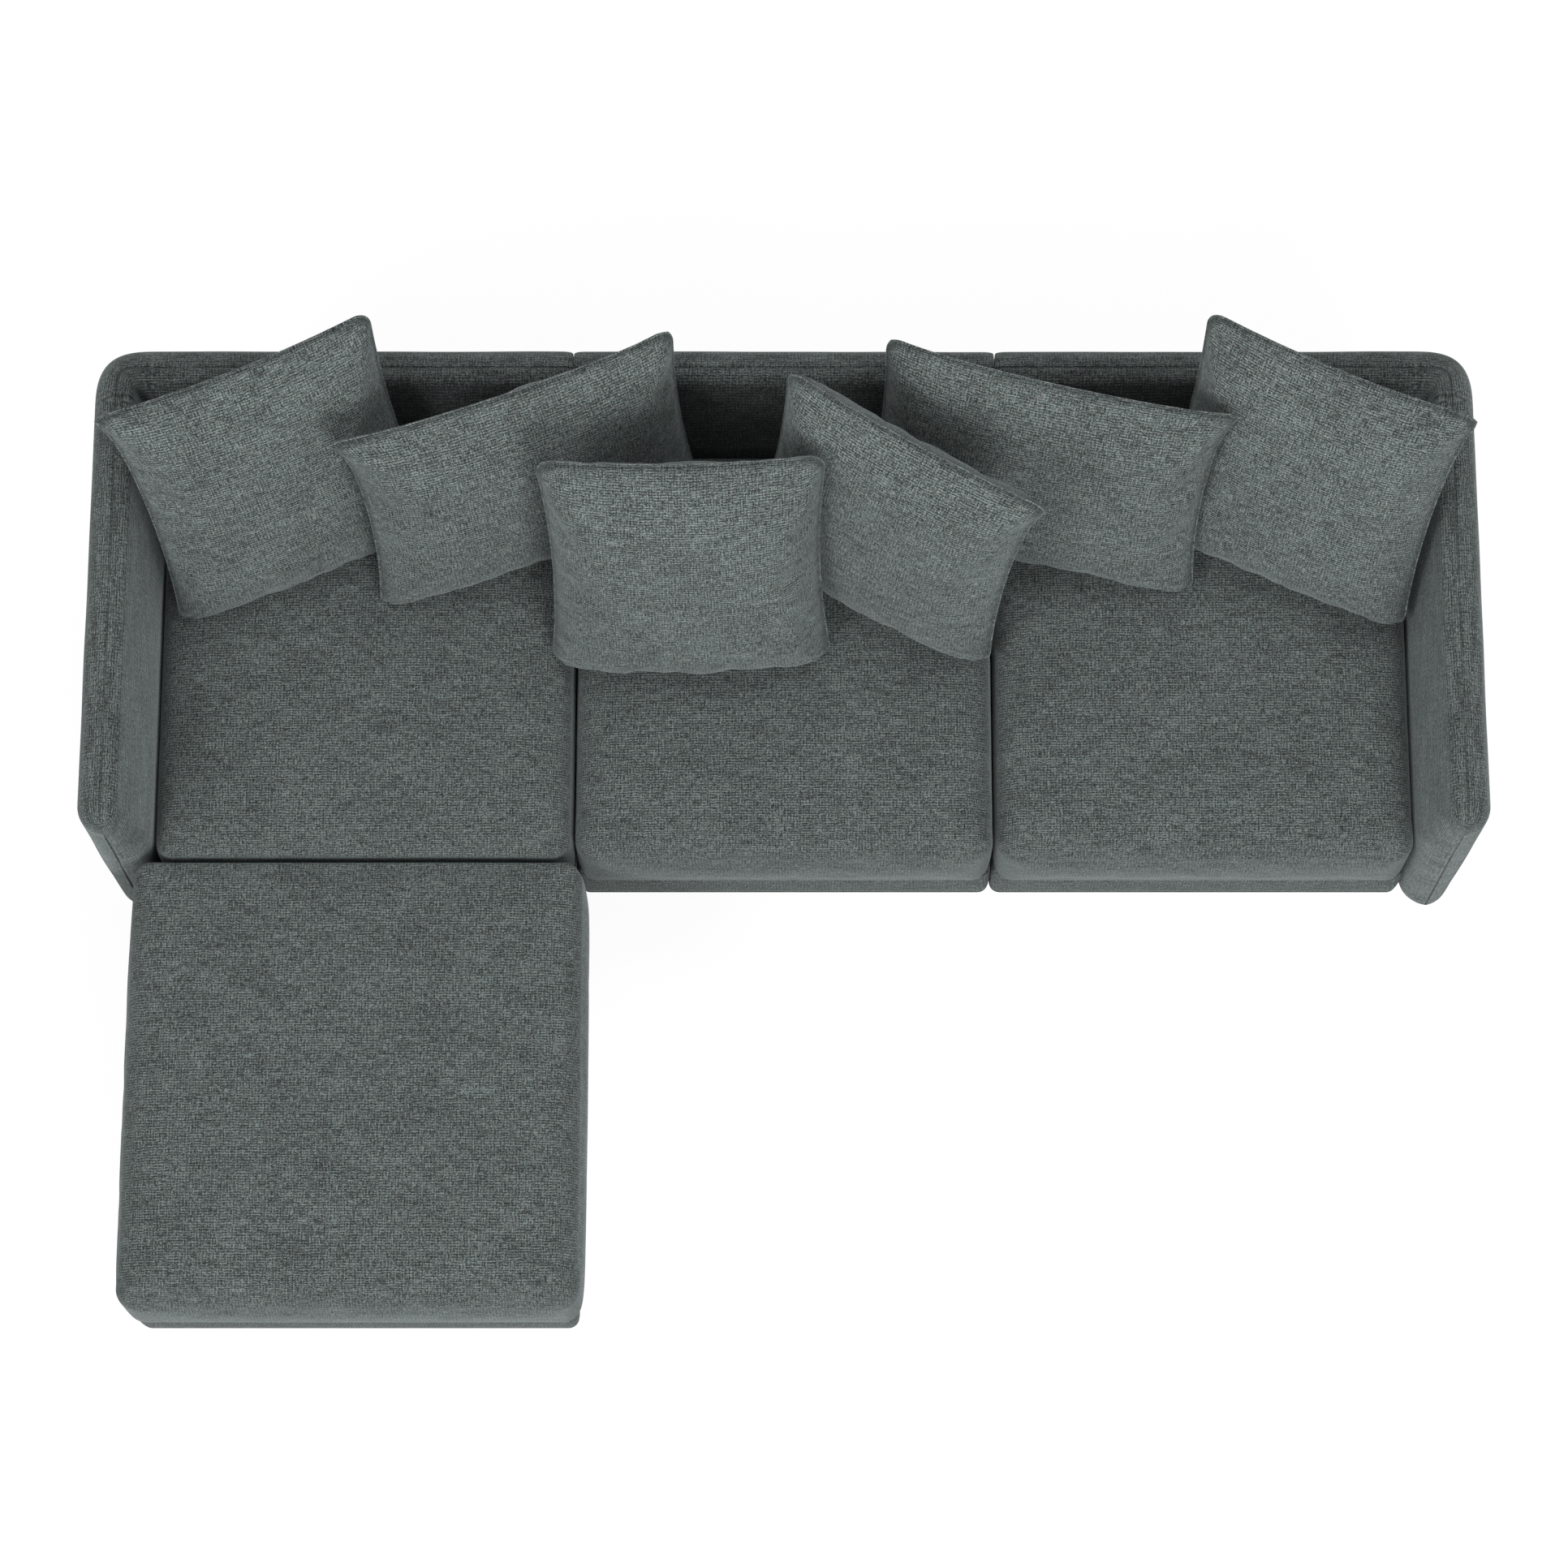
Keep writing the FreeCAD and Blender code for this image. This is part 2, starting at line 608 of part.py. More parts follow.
for name, side in MODULES:
    x = "(%d * seat_width)" % side
    plates, glides = base_unit(name, x, MODULE_Y, MODULE_WIDTH, MODULE_DEPTH)
    leg_plates.append(plates)
    leg_glides.append(glides)
    grip_strips += grips(name, x, MODULE_Y, MODULE_WIDTH, MODULE_DEPTH)
    seat_cushion(name, x, CUSHION_Y, "(seat_width - 2 * seat_gap)", CUSHION_DEPTH)

    # Frames of the back and the arm, the room for them in the foam, and the plates that hold them.
    back_x = "%s - seat_width / 2 + %s" % (x, BACK_FRAME_END)
    back_long = "seat_width - 2 * %s" % BACK_FRAME_END
    room = [slot(name + "_back", back_x, BACK_FRAME_Y, back_long, "frame_thickness")]
    keep(name + "_back_frame",
         tub_frame(name + "_back", back_x, BACK_FRAME_Y, back_long, "frame_thickness"))
    for sign in ("-", "+"):
        tub_plates.append(plate(name + "_back_plate", "%s %s (seat_width / 2 - plate_inset)" % (x, sign),
                                SEAT_REAR, "plate_width", "plate_length"))
    if side:
        arm_x = "%d * (%s - frame_offset - frame_thickness / 2) - frame_thickness / 2" % (side, SIDE)
        room.append(slot(name + "_arm", arm_x, ARM_FRAME_Y, "frame_thickness", ARM_FRAME_LONG))
        keep(name + "_arm_frame",
             tub_frame(name + "_arm", arm_x, ARM_FRAME_Y, "frame_thickness", ARM_FRAME_LONG))
        for end in PLATE_ENDS:
            tub_plates.append(plate(name + "_arm_plate", "%d * %s" % (side, ARM_FACE), end,
                                    "plate_length", "plate_width"))
    floor = size("leg_height")
    skin = size("tub_skin")
    tub = "tub" if side else "back"
    skin_form = tub_form(0, floor, side, False).cut(tub_form(skin, floor - skin, side, True))
    foam_form = tub_form(skin + size("fit"), size(LEG_PLATE_TOP), side, True)
    keep("%s_%s_cover" % (name, tub), solid(name + "_skin", skin_form))
    keep("%s_%s_foam" % (name, tub),
         cut(name + "_foam_cut", solid(name + "_foam_form", foam_form), group(name + "_room", room)))

for seam in (-1, 1):
    for end in PLATE_ENDS:
        joining_plates.append(plate("joining_plate", "%d * seat_width / 2" % seam, end,
                                    "plate_length", "plate_width"))

keep("module_joining_plates", group("module_plates", joining_plates))
keep("tub_fixing_plates", group("tub_plates", tub_plates))
keep("sofa_leg_plates", group("sofa_plates", leg_plates))
keep("sofa_glides", group("glides", leg_glides))
keep("seat_grip_strips", group("strips", grip_strips))

# Footstool: the same base and cushion, on its own legs.
STOOL_WIDTH = "(stool_width - 2 * stool_overhang)"
STOOL_DEPTH = "(stool_depth - 2 * stool_overhang)"
stool_plates, stool_glides = base_unit("footstool", STOOL_X, STOOL_Y, STOOL_WIDTH, STOOL_DEPTH)
keep("footstool_leg_plates", stool_plates)
keep("footstool_glides", stool_glides)
keep("footstool_grip_strips",
     group("stool_strips", grips("footstool", STOOL_X, STOOL_Y, STOOL_WIDTH, STOOL_DEPTH)))
seat_cushion("footstool", STOOL_X, STOOL_Y, "stool_width", "stool_depth")


# Loose pillows. Every level of a pillow is the sewn outline moved inwards: share of the thickness,
# then how far it lies in from the sewn edge as a share of the shorter half.
PILLOW_LEVELS = ((0.30, 0.055), (0.55, 0.14), (0.76, 0.27), (0.91, 0.45), (0.98, 0.66))
INSERT_LOFT = 0.6


def pillow_wire(width, height, level, inset):
    """Outline whose four sides are drawn in at their middles, moved inwards by the inset."""
    draw = size("pillow_draw")
    corner = Vector(width / 2, height / 2, level)
    top = Vector(0, height / 2 - draw, level)
    side = Vector(width / 2 - draw, 0, level)
    # Inward normals of the two runs that meet at the corner.
    top_run = (corner - top).normalize()
    side_run = (corner - side).normalize()
    top_in = Vector(top_run.y, -top_run.x, 0)
    side_in = Vector(-side_run.y, side_run.x, 0)
    corner = corner + (top_in + side_in) * (inset / (1 + top_in.dot(side_in)))
    top = top - Vector(0, inset / top_run.x, 0)
    side = side - Vector(inset / side_run.y, 0, 0)
    spots = []
    for x, y in ((1, 1), (-1, 1), (-1, -1), (1, -1)):
        round_corner = [Vector(x * corner.x, y * corner.y, level)]
        if x * y > 0:
            spots += [Vector(x * side.x, 0, level)] + round_corner + [Vector(0, y * top.y, level)]
        else:
            spots += round_corner
    return Part.makePolygon(spots + spots[:1])


def pillow_form(width, height, loft):
    """Knife-edge pillow about its own centre: width along X, height along Y, crowned along Z."""
    edge = size("pillow_edge") / 2
    reach = min(width, height) / 2
    levels = [(edge, 0)] + [(share * loft / 2, inset * reach) for share, inset in PILLOW_LEVELS]
    below = [(-level, inset) for level, inset in reversed(levels)]
    return ruled([pillow_wire(width, height, level, inset) for level, inset in below + levels])


def insert_form(width, height, loft, grow):
    """Fibre pad in the pillow, thickest in the middle."""
    wrap = size("pillow_wrap")
    half = loft / 2
    wires = []
    for level, inset in ((-INSERT_LOFT * half, half), (0, 0), (INSERT_LOFT * half, half)):
        x = width / 2 - wrap - inset + grow
        y = height / 2 - wrap - inset + grow
        lift = level + math.copysign(grow, level) if level else 0
        spots = [Vector(-x, -y, lift), Vector(x, -y, lift), Vector(x, y, lift), Vector(-x, y, lift)]
        wires.append(Part.makePolygon(spots + spots[:1]))
    return ruled(wires)


def lean_back(yaw, lean, roll):
    """Turn of a pillow that faces forward: yaw about Z, then leaning back, then rolled in its plane."""
    upright = FreeCAD.Rotation(Vector(1, 0, 0), 90)
    leaned = FreeCAD.Rotation(Vector(1, 0, 0), -lean)
    turned = FreeCAD.Rotation(Vector(0, 0, 1), yaw)
    rolled = FreeCAD.Rotation(Vector(0, 0, 1), roll)
    return turned.multiply(leaned).multiply(upright).multiply(rolled)


# Where each pillow stands: seat widths from the middle of the sofa, the share of the seat depth between
# its centre and the rear edge of the seats, and its yaw, lean and roll in degrees.
PILLOWS = (
    ("left_corner_pillow", "square", -1.204, 0.153, 23, 30, 0),
    ("left_long_pillow", "long", -0.613, 0.147, 21, 24, -1.5),
    ("front_pillow", "square", -0.229, 0.382, 0, 25.5, 1.5),
    ("middle_pillow", "square", 0.251, 0.288, -30, 17, 0),
    ("right_long_pillow", "long", 0.610, 0.139, -13.5, 28, 0),
    ("right_corner_pillow", "square", 1.232, 0.166, -27, 29.5, 4),
)
PILLOW_KINDS = {
    "square": ("square_pillow", "square_pillow", "square_pillow_loft"),
    "long": ("long_pillow_width", "long_pillow_height", "long_pillow_loft"),
}


def settle(form, supports):
    """Lower a form onto the cushions under it."""
    rest = size("pillow_rest")
    for attempt in range(40):
        gap = min(form.distToShape(support)[0] for support in supports)
        if gap < 1.2 * rest:
            return
        form.Placement.Base = form.Placement.Base - Vector(0, 0, gap - rest)
    raise RuntimeError("a pillow did not settle")


doc.recompute()
seats = [NODES[name + "_seat_cover"].Base.Shape for name, side in MODULES]
for name, kind, across, from_rear, yaw, lean, roll in PILLOWS:
    width, height, loft = (size(alias) for alias in PILLOW_KINDS[kind])
    outer = pillow_form(width, height, loft)
    cover_shape = outer.cut(insert_form(width, height, loft, size("fit")))
    turn = lean_back(yaw, lean, roll)
    start = Vector(across * size("seat_width"), size(SEAT_REAR) - from_rear * size("seat_depth"),
                   size("seat_height") + height)
    outer.Placement = FreeCAD.Placement(start, turn)
    settle(outer, seats)
    for suffix, shape in (("cover", cover_shape), ("insert", insert_form(width, height, loft, 0))):
        piece = solid("%s_%s_form" % (name, suffix), shape)
        piece.Placement = outer.Placement
        keep("%s_%s" % (name, suffix), piece)

doc.recompute()

for item in doc.Objects:
    if "Invalid" in item.State or "Error" in item.State:
        raise RuntimeError("%s failed: %s" % (item.Label, item.State))
for label, item in NODES.items():
    if item.Shape.isNull() or not item.Shape.isValid() or not item.Shape.Solids:
        raise RuntimeError("%s has no sound solid" % label)

os.makedirs("parts", exist_ok=True)
for label, item in NODES.items():
    item.Shape.exportStep("parts/%s.step" % label)
    print("%-28s %2d solids" % (label, len(item.Shape.Solids)))
print("%d sub-parts" % len(NODES))
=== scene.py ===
import json
import math

import bmesh
import bpy
import numpy as np
from mathutils import Euler, Matrix, Vector, noise
from mathutils.bvhtree import BVHTree

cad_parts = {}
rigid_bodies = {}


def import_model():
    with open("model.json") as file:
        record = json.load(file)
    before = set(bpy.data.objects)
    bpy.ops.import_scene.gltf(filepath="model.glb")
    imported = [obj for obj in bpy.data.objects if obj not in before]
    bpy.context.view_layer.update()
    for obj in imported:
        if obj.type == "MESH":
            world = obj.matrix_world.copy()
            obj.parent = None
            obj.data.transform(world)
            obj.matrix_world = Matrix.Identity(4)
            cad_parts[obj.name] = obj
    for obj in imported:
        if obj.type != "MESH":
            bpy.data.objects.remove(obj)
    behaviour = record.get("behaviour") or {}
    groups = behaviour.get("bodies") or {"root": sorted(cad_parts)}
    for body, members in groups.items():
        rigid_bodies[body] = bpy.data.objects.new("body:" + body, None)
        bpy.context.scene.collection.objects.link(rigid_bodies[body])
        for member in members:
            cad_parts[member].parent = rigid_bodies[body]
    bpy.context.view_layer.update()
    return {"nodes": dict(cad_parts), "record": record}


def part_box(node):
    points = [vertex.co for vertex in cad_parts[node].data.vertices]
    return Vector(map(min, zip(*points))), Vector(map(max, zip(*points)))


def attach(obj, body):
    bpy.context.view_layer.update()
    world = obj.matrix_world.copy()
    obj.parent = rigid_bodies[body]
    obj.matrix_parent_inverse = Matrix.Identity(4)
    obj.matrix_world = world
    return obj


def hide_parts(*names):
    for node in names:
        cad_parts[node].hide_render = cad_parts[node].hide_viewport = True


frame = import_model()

scene = bpy.context.scene

# Sizes of the sofa in metres, in the frame of the solids
SIDE = 1.250  # outer face of an arm, from the middle of the sofa
REAR = 0.860  # rear face of the back
TOP = 0.670  # top of the arms and of the back
SEAT = 0.435  # top of the seats
PADDING_FOOT = 0.1305  # lower edge of the arms and of the back
NOSE = -0.050  # front end of the arms
ARM = 0.104  # thickness of an arm at the seat
BACK = 0.118  # thickness of the back at the seat
SEAM = 0.045  # top seam, from the outer face
EDGE = 0.030  # radius of the inner upper edge
TAPER = 0.008  # how far the outer face draws in at its foot
CORNER = 0.110  # radius of the rear corners
JOINT = 0.3825  # where the modules meet, from the middle of the sofa
SPINE = 0.050  # depth that the rounded ends close on
SPINE_TOP = 0.625  # height that the rounded ends close on
TINY = 1e-9


# Meshes

def mesh_piece(name, verts, faces, corner_uvs, seam=None, weld=0.0):
    """Smooth mesh with its weave coordinates in metres and painted shade along each seam."""
    data = bpy.data.meshes.new(name)
    data.from_pydata([tuple(v) for v in verts], [], [tuple(f) for f in faces])
    layer = data.uv_layers.new(name="weave")
    layer.data.foreach_set("uv", np.asarray(corner_uvs, np.float32).reshape(-1))
    # painted shade along each seam, one value per point
    shade_mark = data.attributes.new("seam", "FLOAT", "POINT")
    if seam is not None:
        shade_mark.data.foreach_set("value", np.asarray(seam, np.float32))
    if weld:
        bm = bmesh.new()
        bm.from_mesh(data)
        bmesh.ops.remove_doubles(bm, verts=bm.verts, dist=weld)
        bmesh.ops.dissolve_degenerate(bm, edges=bm.edges, dist=weld)
        bmesh.ops.recalc_face_normals(bm, faces=bm.faces)
        bm.to_mesh(data)
        bm.free()
    data.shade_smooth()
    obj = bpy.data.objects.new(name, data)
    scene.collection.objects.link(obj)
    return obj


def coords(obj, field="co"):
    """Place of every point, or its normal."""
    out = np.empty(len(obj.data.vertices) * 3, np.float32)
    obj.data.vertices.foreach_get(field, out)
    return out.reshape(-1, 3).astype(float)


def set_coords(obj, points):
    obj.data.vertices.foreach_set("co", np.asarray(points, np.float32).ravel())
    obj.data.update()


def subdivide(obj):
    soft = obj.modifiers.new("soft", "SUBSURF")
    soft.levels = 1
    soft.render_levels = 1


def node_box(node):
    """Low and high corner of a solid."""
    return tuple(np.array(corner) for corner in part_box(node))


def uneven(points, scale, seed):
    """Smooth noise from -1 to 1 at every point."""
    offset = Vector((13.1 * seed, 7.7 * seed, 3.3 * seed))
    return np.array([noise.noise(Vector(p) * scale + offset) for p in points])


def running(steps):
    """Length of the way to each point of a line, from the steps between them."""
    return np.concatenate([[0], np.cumsum(steps)])


def places(half, border, fine, coarse):
    """Places from -half to half that lie closer together near both ends."""
    inner = half - border
    ends = max(2, round(border / fine))
    middle = max(2, round(2 * inner / coarse))
    return np.concatenate([
        np.linspace(-half, -inner, ends, endpoint=False),
        np.linspace(-inner, inner, middle, endpoint=False),
        np.linspace(inner, half, ends + 1),
    ])


def box_surface(xs, ys, zs):
    """Grid points on the six faces of a box, and the quads between them."""
    index = {}
    points = []
    quads = []
    last = (len(xs) - 1, len(ys) - 1, len(zs) - 1)

    def spot(key):
        if key not in index:
            index[key] = len(points)
            points.append((xs[key[0]], ys[key[1]], zs[key[2]]))
        return index[key]

    for axis in range(3):
        first, second = (axis + 1) % 3, (axis + 2) % 3
        for end in (0, last[axis]):
            for i, j in np.ndindex(last[first], last[second]):
                corners = []
                for di, dj in ((0, 0), (1, 0), (1, 1), (0, 1)):
                    key = [0, 0, 0]
                    key[axis] = end
                    key[first] = i + di
                    key[second] = j + dj
                    corners.append(spot(tuple(key)))
                quads.append(corners if end else corners[::-1])
    return np.array(points), quads


def ring_faces(rows, count, weave):
    """Quads between closed rings of points, and the weave coordinates of their corners."""
    faces = []
    uvs = []
    for i, j in np.ndindex(rows - 1, count):
        k = (j + 1) % count
        faces.append((i * count + j, (i + 1) * count + j, (i + 1) * count + k, i * count + k))
        uvs += [weave(row, column) for row, column in ((i, j), (i + 1, j), (i + 1, j + 1), (i, j + 1))]
    return faces, uvs


CLOTH = {"quality": 4, "mass": 0.25, "tension_stiffness": 18, "compression_stiffness": 18,
         "shear_stiffness": 6, "bending_stiffness": 0.4, "air_damping": 3}


def swell(jobs, frames=14):
    """Blow up stuffed pieces as cloth. A job is a piece, its pressure, its spare cloth, the most that
    a point may move, and its pinned points."""
    for obj, pressure, spare, cap, pinned in jobs:
        cloth = obj.modifiers.new("swell", "CLOTH")
        rule = cloth.settings
        for setting, value in CLOTH.items():
            setattr(rule, setting, value)
        rule.use_pressure = True
        rule.uniform_pressure_force = pressure
        rule.shrink_min = -spare
        rule.effector_weights.gravity = 0
        cloth.collision_settings.use_collision = False
        cloth.point_cache.frame_start = 1
        cloth.point_cache.frame_end = frames
        if pinned is not None:
            group = obj.vertex_groups.new(name="pinned")
            group.add([int(i) for i in pinned], 1.0, "REPLACE")
            rule.vertex_group_mass = "pinned"
    for step in range(1, frames + 1):
        scene.frame_set(step)
    graph = bpy.context.evaluated_depsgraph_get()
    results = [coords(job[0].evaluated_get(graph)) for job in jobs]
    for (obj, pressure, spare, cap, pinned), swollen in zip(jobs, results):
        obj.modifiers.remove(obj.modifiers["swell"])
        obj.vertex_groups.clear()
        rest = coords(obj)
        move = swollen - rest
        far = np.linalg.norm(move, axis=1, keepdims=True)
        set_coords(obj, rest + move * (cap * np.tanh(far / cap) / np.maximum(far, TINY)))
    scene.frame_set(1)


# Boxed cushions of the seats and the footstool

CROWN = 0.014  # rise of the top above its edge
CROWN_SQUARE = 2.4
CROWN_FULL = 0.75
ROLL = 0.036  # radius of the upper edge
CUSHION_CORNER = 0.037  # radius of the upright corners
CUSHION_FOOT = 0.012  # radius of the lower edge
CUSHION_GRID = (CUSHION_CORNER, 0.006, 0.0155)  # finer border, spacing there and inside it
FOOT_ROWS = 3
SIDE_ROWS = 7
ROLL_ROWS = 7
BULGE_HEIGHT = 0.45  # where the sides are fullest, as a share of the height
SIDE_BAND = 8  # the bulge is on the outer eighth of each half
CUSHION_WAVES = ((6.0, 0, 0.0016), (16.0, 5, 0.0006))  # scale, shift of the seed and size
WEAVE_FOLD = 0.012  # how far below the crown the weave turns down the sides
PRESSED = 0.0003  # gap that is left where a piece is pressed on another
PRESSED_FACING = 0.9  # how squarely a pressed edge faces its neighbour
SEAT_SPREAD = 0.0002  # how far the seats reach past their solids, to close their joints


def rolled_edges(points, half, foot, edge_top, pressed):
    """Plan and height of the points of a box with round corners and rolled edges."""
    core = half[:2] - CUSHION_CORNER
    inner = np.clip(points[:, :2], -core, core)
    out = points[:, :2] - inner
    reach = np.abs(out).max(1)
    direction = out / np.maximum(np.linalg.norm(out, axis=1, keepdims=True), TINY)
    height = points[:, 2].copy()
    facing = np.clip(2 * np.abs(direction[:, 1]) - PRESSED_FACING, 0, 1)
    upper_roll = ROLL * (1 - np.where(direction[:, 1] < 0, pressed[0], pressed[1]) * facing)
    for radius, level, up in ((upper_roll, edge_top - upper_roll, 1),
                              (CUSHION_FOOT, foot + CUSHION_FOOT, -1)):
        step_out = np.maximum(reach - (CUSHION_CORNER - radius), 0)
        step_up = np.maximum((height - level) * up, 0)
        square = np.maximum(step_out, step_up)
        disc = np.maximum(np.hypot(step_out, step_up), TINY)
        turned = (step_up > 0) & (step_out > 0)
        reach = np.where(turned, CUSHION_CORNER - radius + step_out * square / disc, reach)
        height = np.where(turned, level + up * step_up * square / disc, height)
    return inner + direction * reach[:, None], height


def boxed_cushion(name, node, play, seed, pressed):
    """Foam cushion with a rolled upper edge; play is how far its sides may swell to -X, +X, -Y and +Y,
    pressed how much of the roll is pressed flat at -Y and +Y."""
    low, high = node_box(node)
    centre = (low + high) / 2
    half = (high - low) / 2
    edge_top = high[2] - CROWN
    zs = np.concatenate([
        np.linspace(low[2], low[2] + CUSHION_FOOT, FOOT_ROWS, endpoint=False),
        np.linspace(low[2] + CUSHION_FOOT, edge_top - ROLL, SIDE_ROWS, endpoint=False),
        np.linspace(edge_top - ROLL, edge_top, ROLL_ROWS),
    ])
    points, quads = box_surface(places(half[0], *CUSHION_GRID), places(half[1], *CUSHION_GRID), zs)
    plan, height = rolled_edges(points, half, low[2], edge_top, pressed)
    share = np.clip(1 - np.abs(plan / half[:2]) ** CROWN_SQUARE, 0, 1) ** CROWN_FULL
    upper = np.clip((height - low[2]) / (edge_top - low[2]), 0, 1)
    height = height + CROWN * share[:, 0] * share[:, 1] * upper ** 2
    bulge = np.clip(1 - (2 * upper - 2 * BULGE_HEIGHT) ** 2, 0, 1)
    for axis, minus, plus in ((0, play[0], play[1]), (1, play[2], play[3])):
        side = plan[:, axis] / half[axis]
        along = np.clip(1 - np.abs(plan[:, 1 - axis] / half[1 - axis]) ** 3, 0, 1)
        outermost = np.clip(np.abs(side) * SIDE_BAND - (SIDE_BAND - 1), 0, 1)
        plan[:, axis] += np.where(side < 0, minus, plus) * np.sign(side) * outermost * bulge * along
    shaped = np.column_stack([plan + centre[:2], height])
    wave = sum(uneven(shaped, scale, seed + shift) * size for scale, shift, size in CUSHION_WAVES)
    shaped[:, 2] += wave * upper ** 3
    return mesh_piece(name, shaped, quads, np.zeros((4 * len(quads), 2)))


def press(obj, node, sides, gap=PRESSED):
    """Flatten a piece against its neighbours, on the named sides of the solid that it replaces."""
    low, high = node_box(node)
    points = coords(obj)
    for side in sides.split():
        axis = "xyz".index(side[1])
        if side[0] == "+":
            points[:, axis] = np.minimum(points[:, axis], high[axis] - gap)
        else:
            points[:, axis] = np.maximum(points[:, axis], low[axis] + gap)
    set_coords(obj, points)


def cushion_weave(obj):
    """Weave coordinates of a boxed cushion: laid over the top and on down the sides."""
    points = coords(obj)
    low, high = points.min(0), points.max(0)
    mid = (low + high) / 2
    drop = np.maximum(high[2] - WEAVE_FOLD - points[:, 2], 0)
    weight = coords(obj, "normal")[:, :2] ** 2 + 1e-6
    weight = weight / weight.sum(1, keepdims=True)
    spread = points[:, :2] + np.sign(points[:, :2] - mid[:2]) * drop[:, None] * weight
    loops = np.empty(len(obj.data.loops), np.int32)
    obj.data.loops.foreach_get("vertex_index", loops)
    obj.data.uv_layers["weave"].data.foreach_set("uv", spread[loops].astype(np.float32).ravel())


# Padded arms and back

OUTER_STEPS = 26  # points on each part of the section
ROLL_STEPS = 9
RAKED_STEPS = 14
LOWER_STEPS = 9
UNDER_STEPS = 6
OUTER_BELLY = 0.002
INNER_PUFF = 0.003
OUTER_TURN = 78  # degrees from the outer face to the seam
INNER_TURN = 73  # degrees where the inner roll begins
SEAM_PROFILE = (  # distance from the seam, how deep it is sunk, and the strength of the painted shade in its groove
    (-0.0060, -0.0004, 0), (-0.0030, 0.0006, 0.1), (-0.0012, 0.0022, 0.4), (0, 0.0034, 0.6),
    (0.0012, 0.0022, 0.4), (0.0030, 0.0006, 0.1), (0.0060, -0.0004, 0),
)
END_STEPS = (  # eased end of a back: distance from the end and share of the section
    (0.022, 1.0), (0.014, 0.996), (0.008, 0.984), (0.004, 0.966), (0.001, 0.940), (0, 0.90), (0, 0.0),
)
END_REACH = END_STEPS[0][0]
JOINT_GAP = 0.001  # gap beside the middle back
CORNER_SOFT = 3  # power of the outline outside, and how much more inside
CORNER_SHARPER = 9
CORNER_DEPTH = 0.1
NOSE_TIP = ((0.0, 0.0042), (0.022, 0.0012), (0.045, -0.0004))  # share of the section and place
NOSE_SHADE = (1.0, 0.7)  # painted shade of the seam down the nose, on the first stations
NOSE_FIRST = 0.09  # first angle round the nose
NOSE_STATIONS = 13
ARM_STATIONS = 48
CORNER_STATIONS = 24
BACK_STATIONS = 46
MIDDLE_STATIONS = 44
NOSE_WEAVE = 0.6  # weave on the nose, against the length of the way
CORNER_WEAVE = 1.15  # the same round the corner
RAKED_WEAVE = 0.5  # the same on the raked face
PADDING_WAVE = (7.0, 3, 0.0012)  # scale, seed and size
WAVE_FOOT = 0.2  # the padding is even below this height, and behind and just above the seats
WALL_BAND = 0.002
SEAT_BAND = 0.02
PADDING_WELD = 2e-5
PUCKER_AT = (SEAM - SIDE, NOSE + 0.046, TOP - 0.008)
PUCKER_SIZE = 0.0021
PUCKER_REACH = 0.040
PUCKER_EYE = 0.010  # smooth middle of the puckers
PUCKER_FOLDS = 11
PUCKER_DROP = 0.05  # how far down the nose the puckers go


def rake(thickness):
    """Angle of the raked inner face, which touches the upper edge."""
    across = thickness - SEAM
    drop = TOP - SEAT - EDGE
    return math.acos(EDGE / math.hypot(across, drop)) - math.atan2(drop, across)


def tub_section(thickness):
    """Points round a section: depth from the outer face, height, and the painted shade of the top seam."""
    section = []
    for z in np.linspace(PADDING_FOOT, SPINE_TOP, OUTER_STEPS, endpoint=False):
        share = (z - PADDING_FOOT) / (SPINE_TOP - PADDING_FOOT)
        section.append((TAPER * (1 - share) - OUTER_BELLY * math.sin(math.pi * share), z, 0))
    for turn in np.linspace(0, OUTER_TURN, ROLL_STEPS):
        angle = math.radians(turn)
        section.append((SEAM - SEAM * math.cos(angle), SPINE_TOP + SEAM * math.sin(angle), 0))
    for across, sink, shade_mark in SEAM_PROFILE:
        radius = SEAM if across < 0 else EDGE
        section.append((SEAM + across, TOP - (radius - math.sqrt(radius ** 2 - across ** 2)) - sink, shade_mark))
    for turn in np.linspace(INNER_TURN, math.degrees(rake(thickness)), ROLL_STEPS):
        angle = math.radians(turn)
        section.append((SEAM + EDGE * math.cos(angle), TOP - EDGE + EDGE * math.sin(angle), 0))
    start = section[-1]
    for share in np.linspace(0, 1, RAKED_STEPS)[1:]:
        puff = INNER_PUFF * math.sin(math.pi * share)
        section.append((start[0] + (thickness - start[0]) * share + puff,
                        start[1] + (SEAT - start[1]) * share, 0))
    for z in np.linspace(SEAT, PADDING_FOOT, LOWER_STEPS)[1:]:
        section.append((thickness, z, 0))
    for share in np.linspace(0, 1, UNDER_STEPS)[1:-1]:
        section.append((thickness + (TAPER - thickness) * share, PADDING_FOOT, 0))
    return np.array(section)


ARM_SECTION = tub_section(ARM)
BACK_SECTION = tub_section(BACK)


def drawn(section, share):
    """The section drawn towards its spine, for the rounded end of an arm or of a back."""
    depth = SPINE + (section[:, 0] - SPINE) * share
    height = np.where(section[:, 1] > SPINE_TOP, SPINE_TOP + (section[:, 1] - SPINE_TOP) * share,
                      section[:, 1])
    return depth, height


def arm_station(y, share=1.0):
    depth, height = drawn(ARM_SECTION, share)
    return np.column_stack([depth - SIDE, np.full(len(depth), y), height])


def back_station(x, share=1.0):
    depth, height = drawn(BACK_SECTION, share)
    return np.column_stack([np.full(len(depth), x), REAR - depth, height])


def corner_power(depth):
    """How square the corner is at a depth: soft outside, nearly sharp at the inner face."""
    return CORNER_SOFT + CORNER_SHARPER * np.clip(depth / CORNER_DEPTH, 0, 1) ** 1.5


